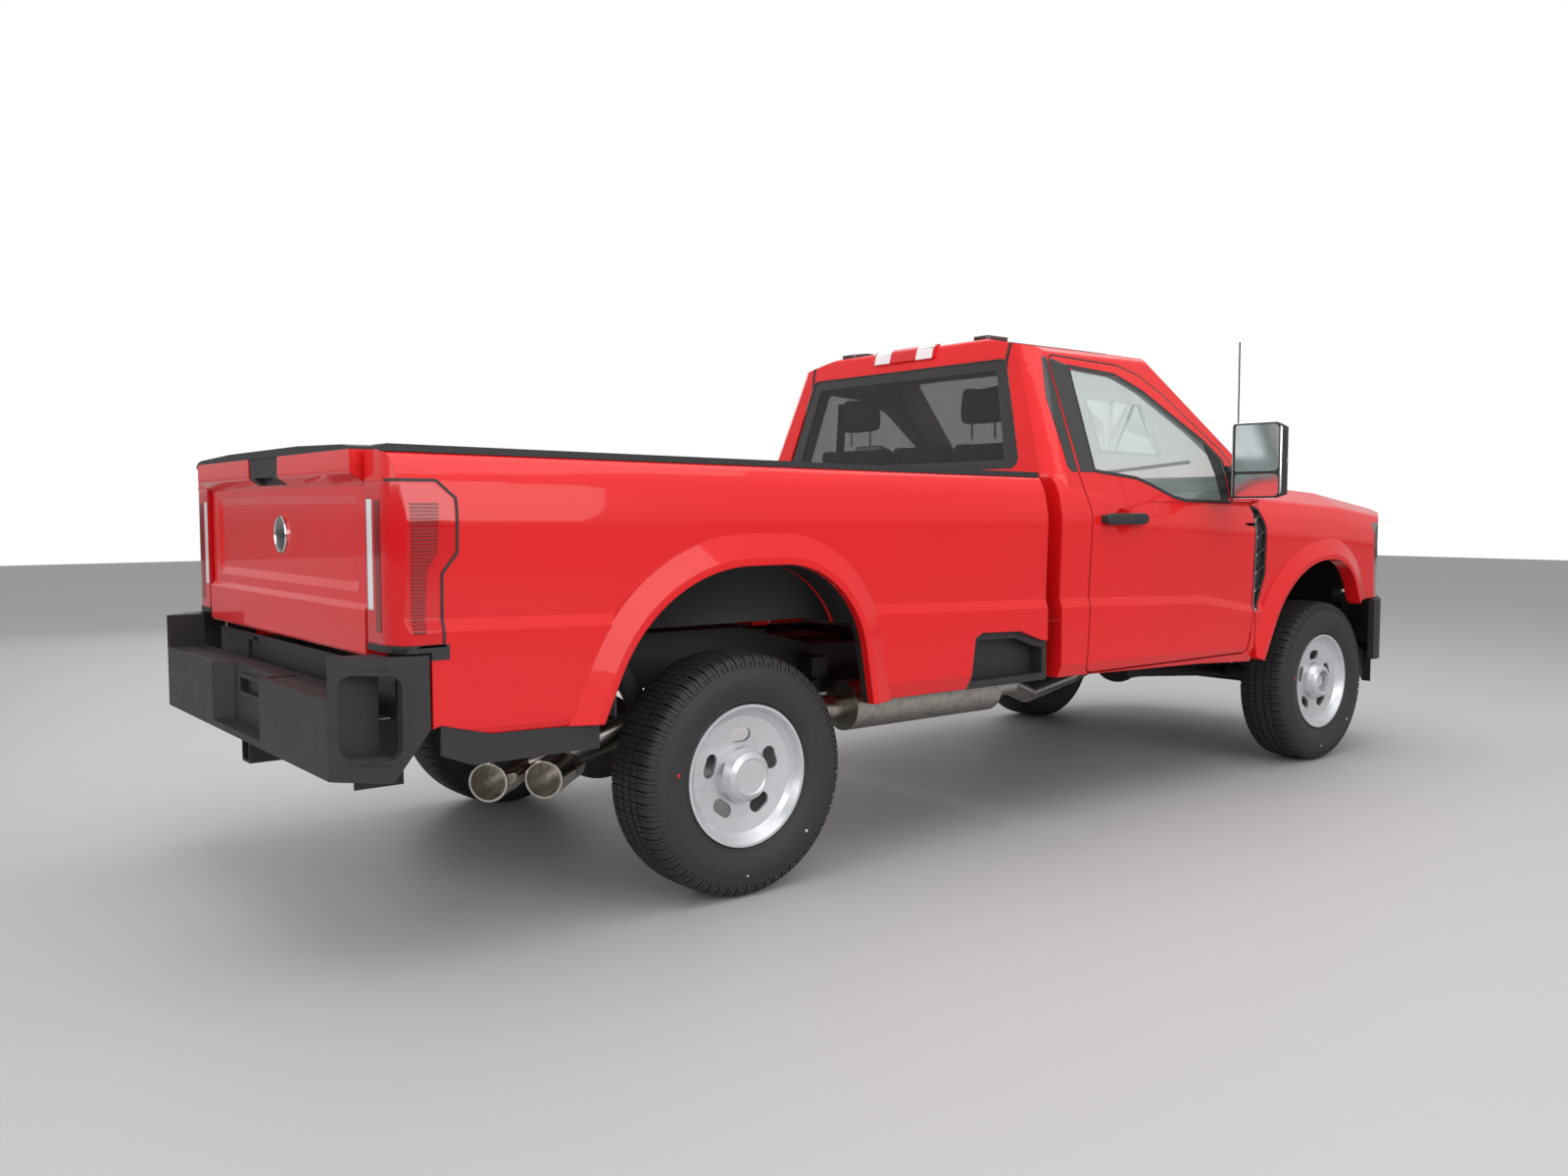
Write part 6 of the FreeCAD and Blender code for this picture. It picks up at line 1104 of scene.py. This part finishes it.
# %% [markdown]
# ## Below the gate
# With the gate open one can look in between the box and the bumper. A black apron closes
# that gap, and the inner faces of the corner posts are black too. A thick lip frames the
# mouth of each corner step.

# %% Apron, post liners and step lips
block("gate_apron", (-2.756, -0.860, 0.690), (-2.750, 0.860, 0.830), "black_trim", bevel=0.001)
POST_FACE = metres((-2830, 600), (-2600, 600), (-2600, 903), (-2830, 903))
for word, side in SIDES.items():
    skin(f"post_liner_{word}", "bedsides", POST_FACE, 1, -side, "frame_black", "chassis",
         near=(side * 0.78, side * 0.99))
STEP_MOUTH = metres((-2891, 606), (-2823, 606), (-2799, 616), (-2789, 640), (-2789, 796), (-2799, 820),
                    (-2823, 830), (-2891, 830), (-2915, 820), (-2925, 796), (-2925, 640), (-2915, 616))
skin_pair("corner_step_lip", "rear_bumper", grown(STEP_MOUTH, 0.012), "black_trim", "chassis",
          hole=STEP_MOUTH, near=(0.93, 1.0), lift=0.004)
print("gap below the gate closed")

# %% [markdown]
# ## Lamp frames, grille cover and wipers
# A pale light guide frames the lamp units. A black cover hides the gap between hood and
# grille, and two wiper blades follow the curve of the windshield as skins.

# %% Lamp frames, grille cover and wipers
LAMP_RING = [(0.640, 0.835), (0.845, 0.835), (0.845, 1.165), (0.640, 1.165)]
GUIDE_WIDTH = 0.016
for word, side in SIDES.items():
    ring, hole = [[(side * y, z) for y, z in outline][::side] for outline in
                  (LAMP_RING, grown(LAMP_RING, -GUIDE_WIDTH))]
    skin(f"lamp_signature_{word}", "headlamps", ring, 0, 1, "white_lens", "chassis", hole=hole,
         near=(2.70, 2.90))
COVER = [(2.600, -0.625), (2.862, -0.625), (2.862, 0.625), (2.600, 0.625)]
slab("grille_cover", COVER, 2, 1.238, 1.246, "black_trim", "chassis", bevel=0.002)
WIPERS = ([(1.290, -0.640), (1.304, -0.640), (1.352, -0.060), (1.338, -0.060)],
          [(1.330, 0.020), (1.344, 0.020), (1.318, 0.600), (1.304, 0.600)])
for index, blade in enumerate(WIPERS):
    skin(f"wiper_blade_{index}", "windshield", blade, 2, 1, "black_trim", "chassis", lift=0.006)
print("front end done")
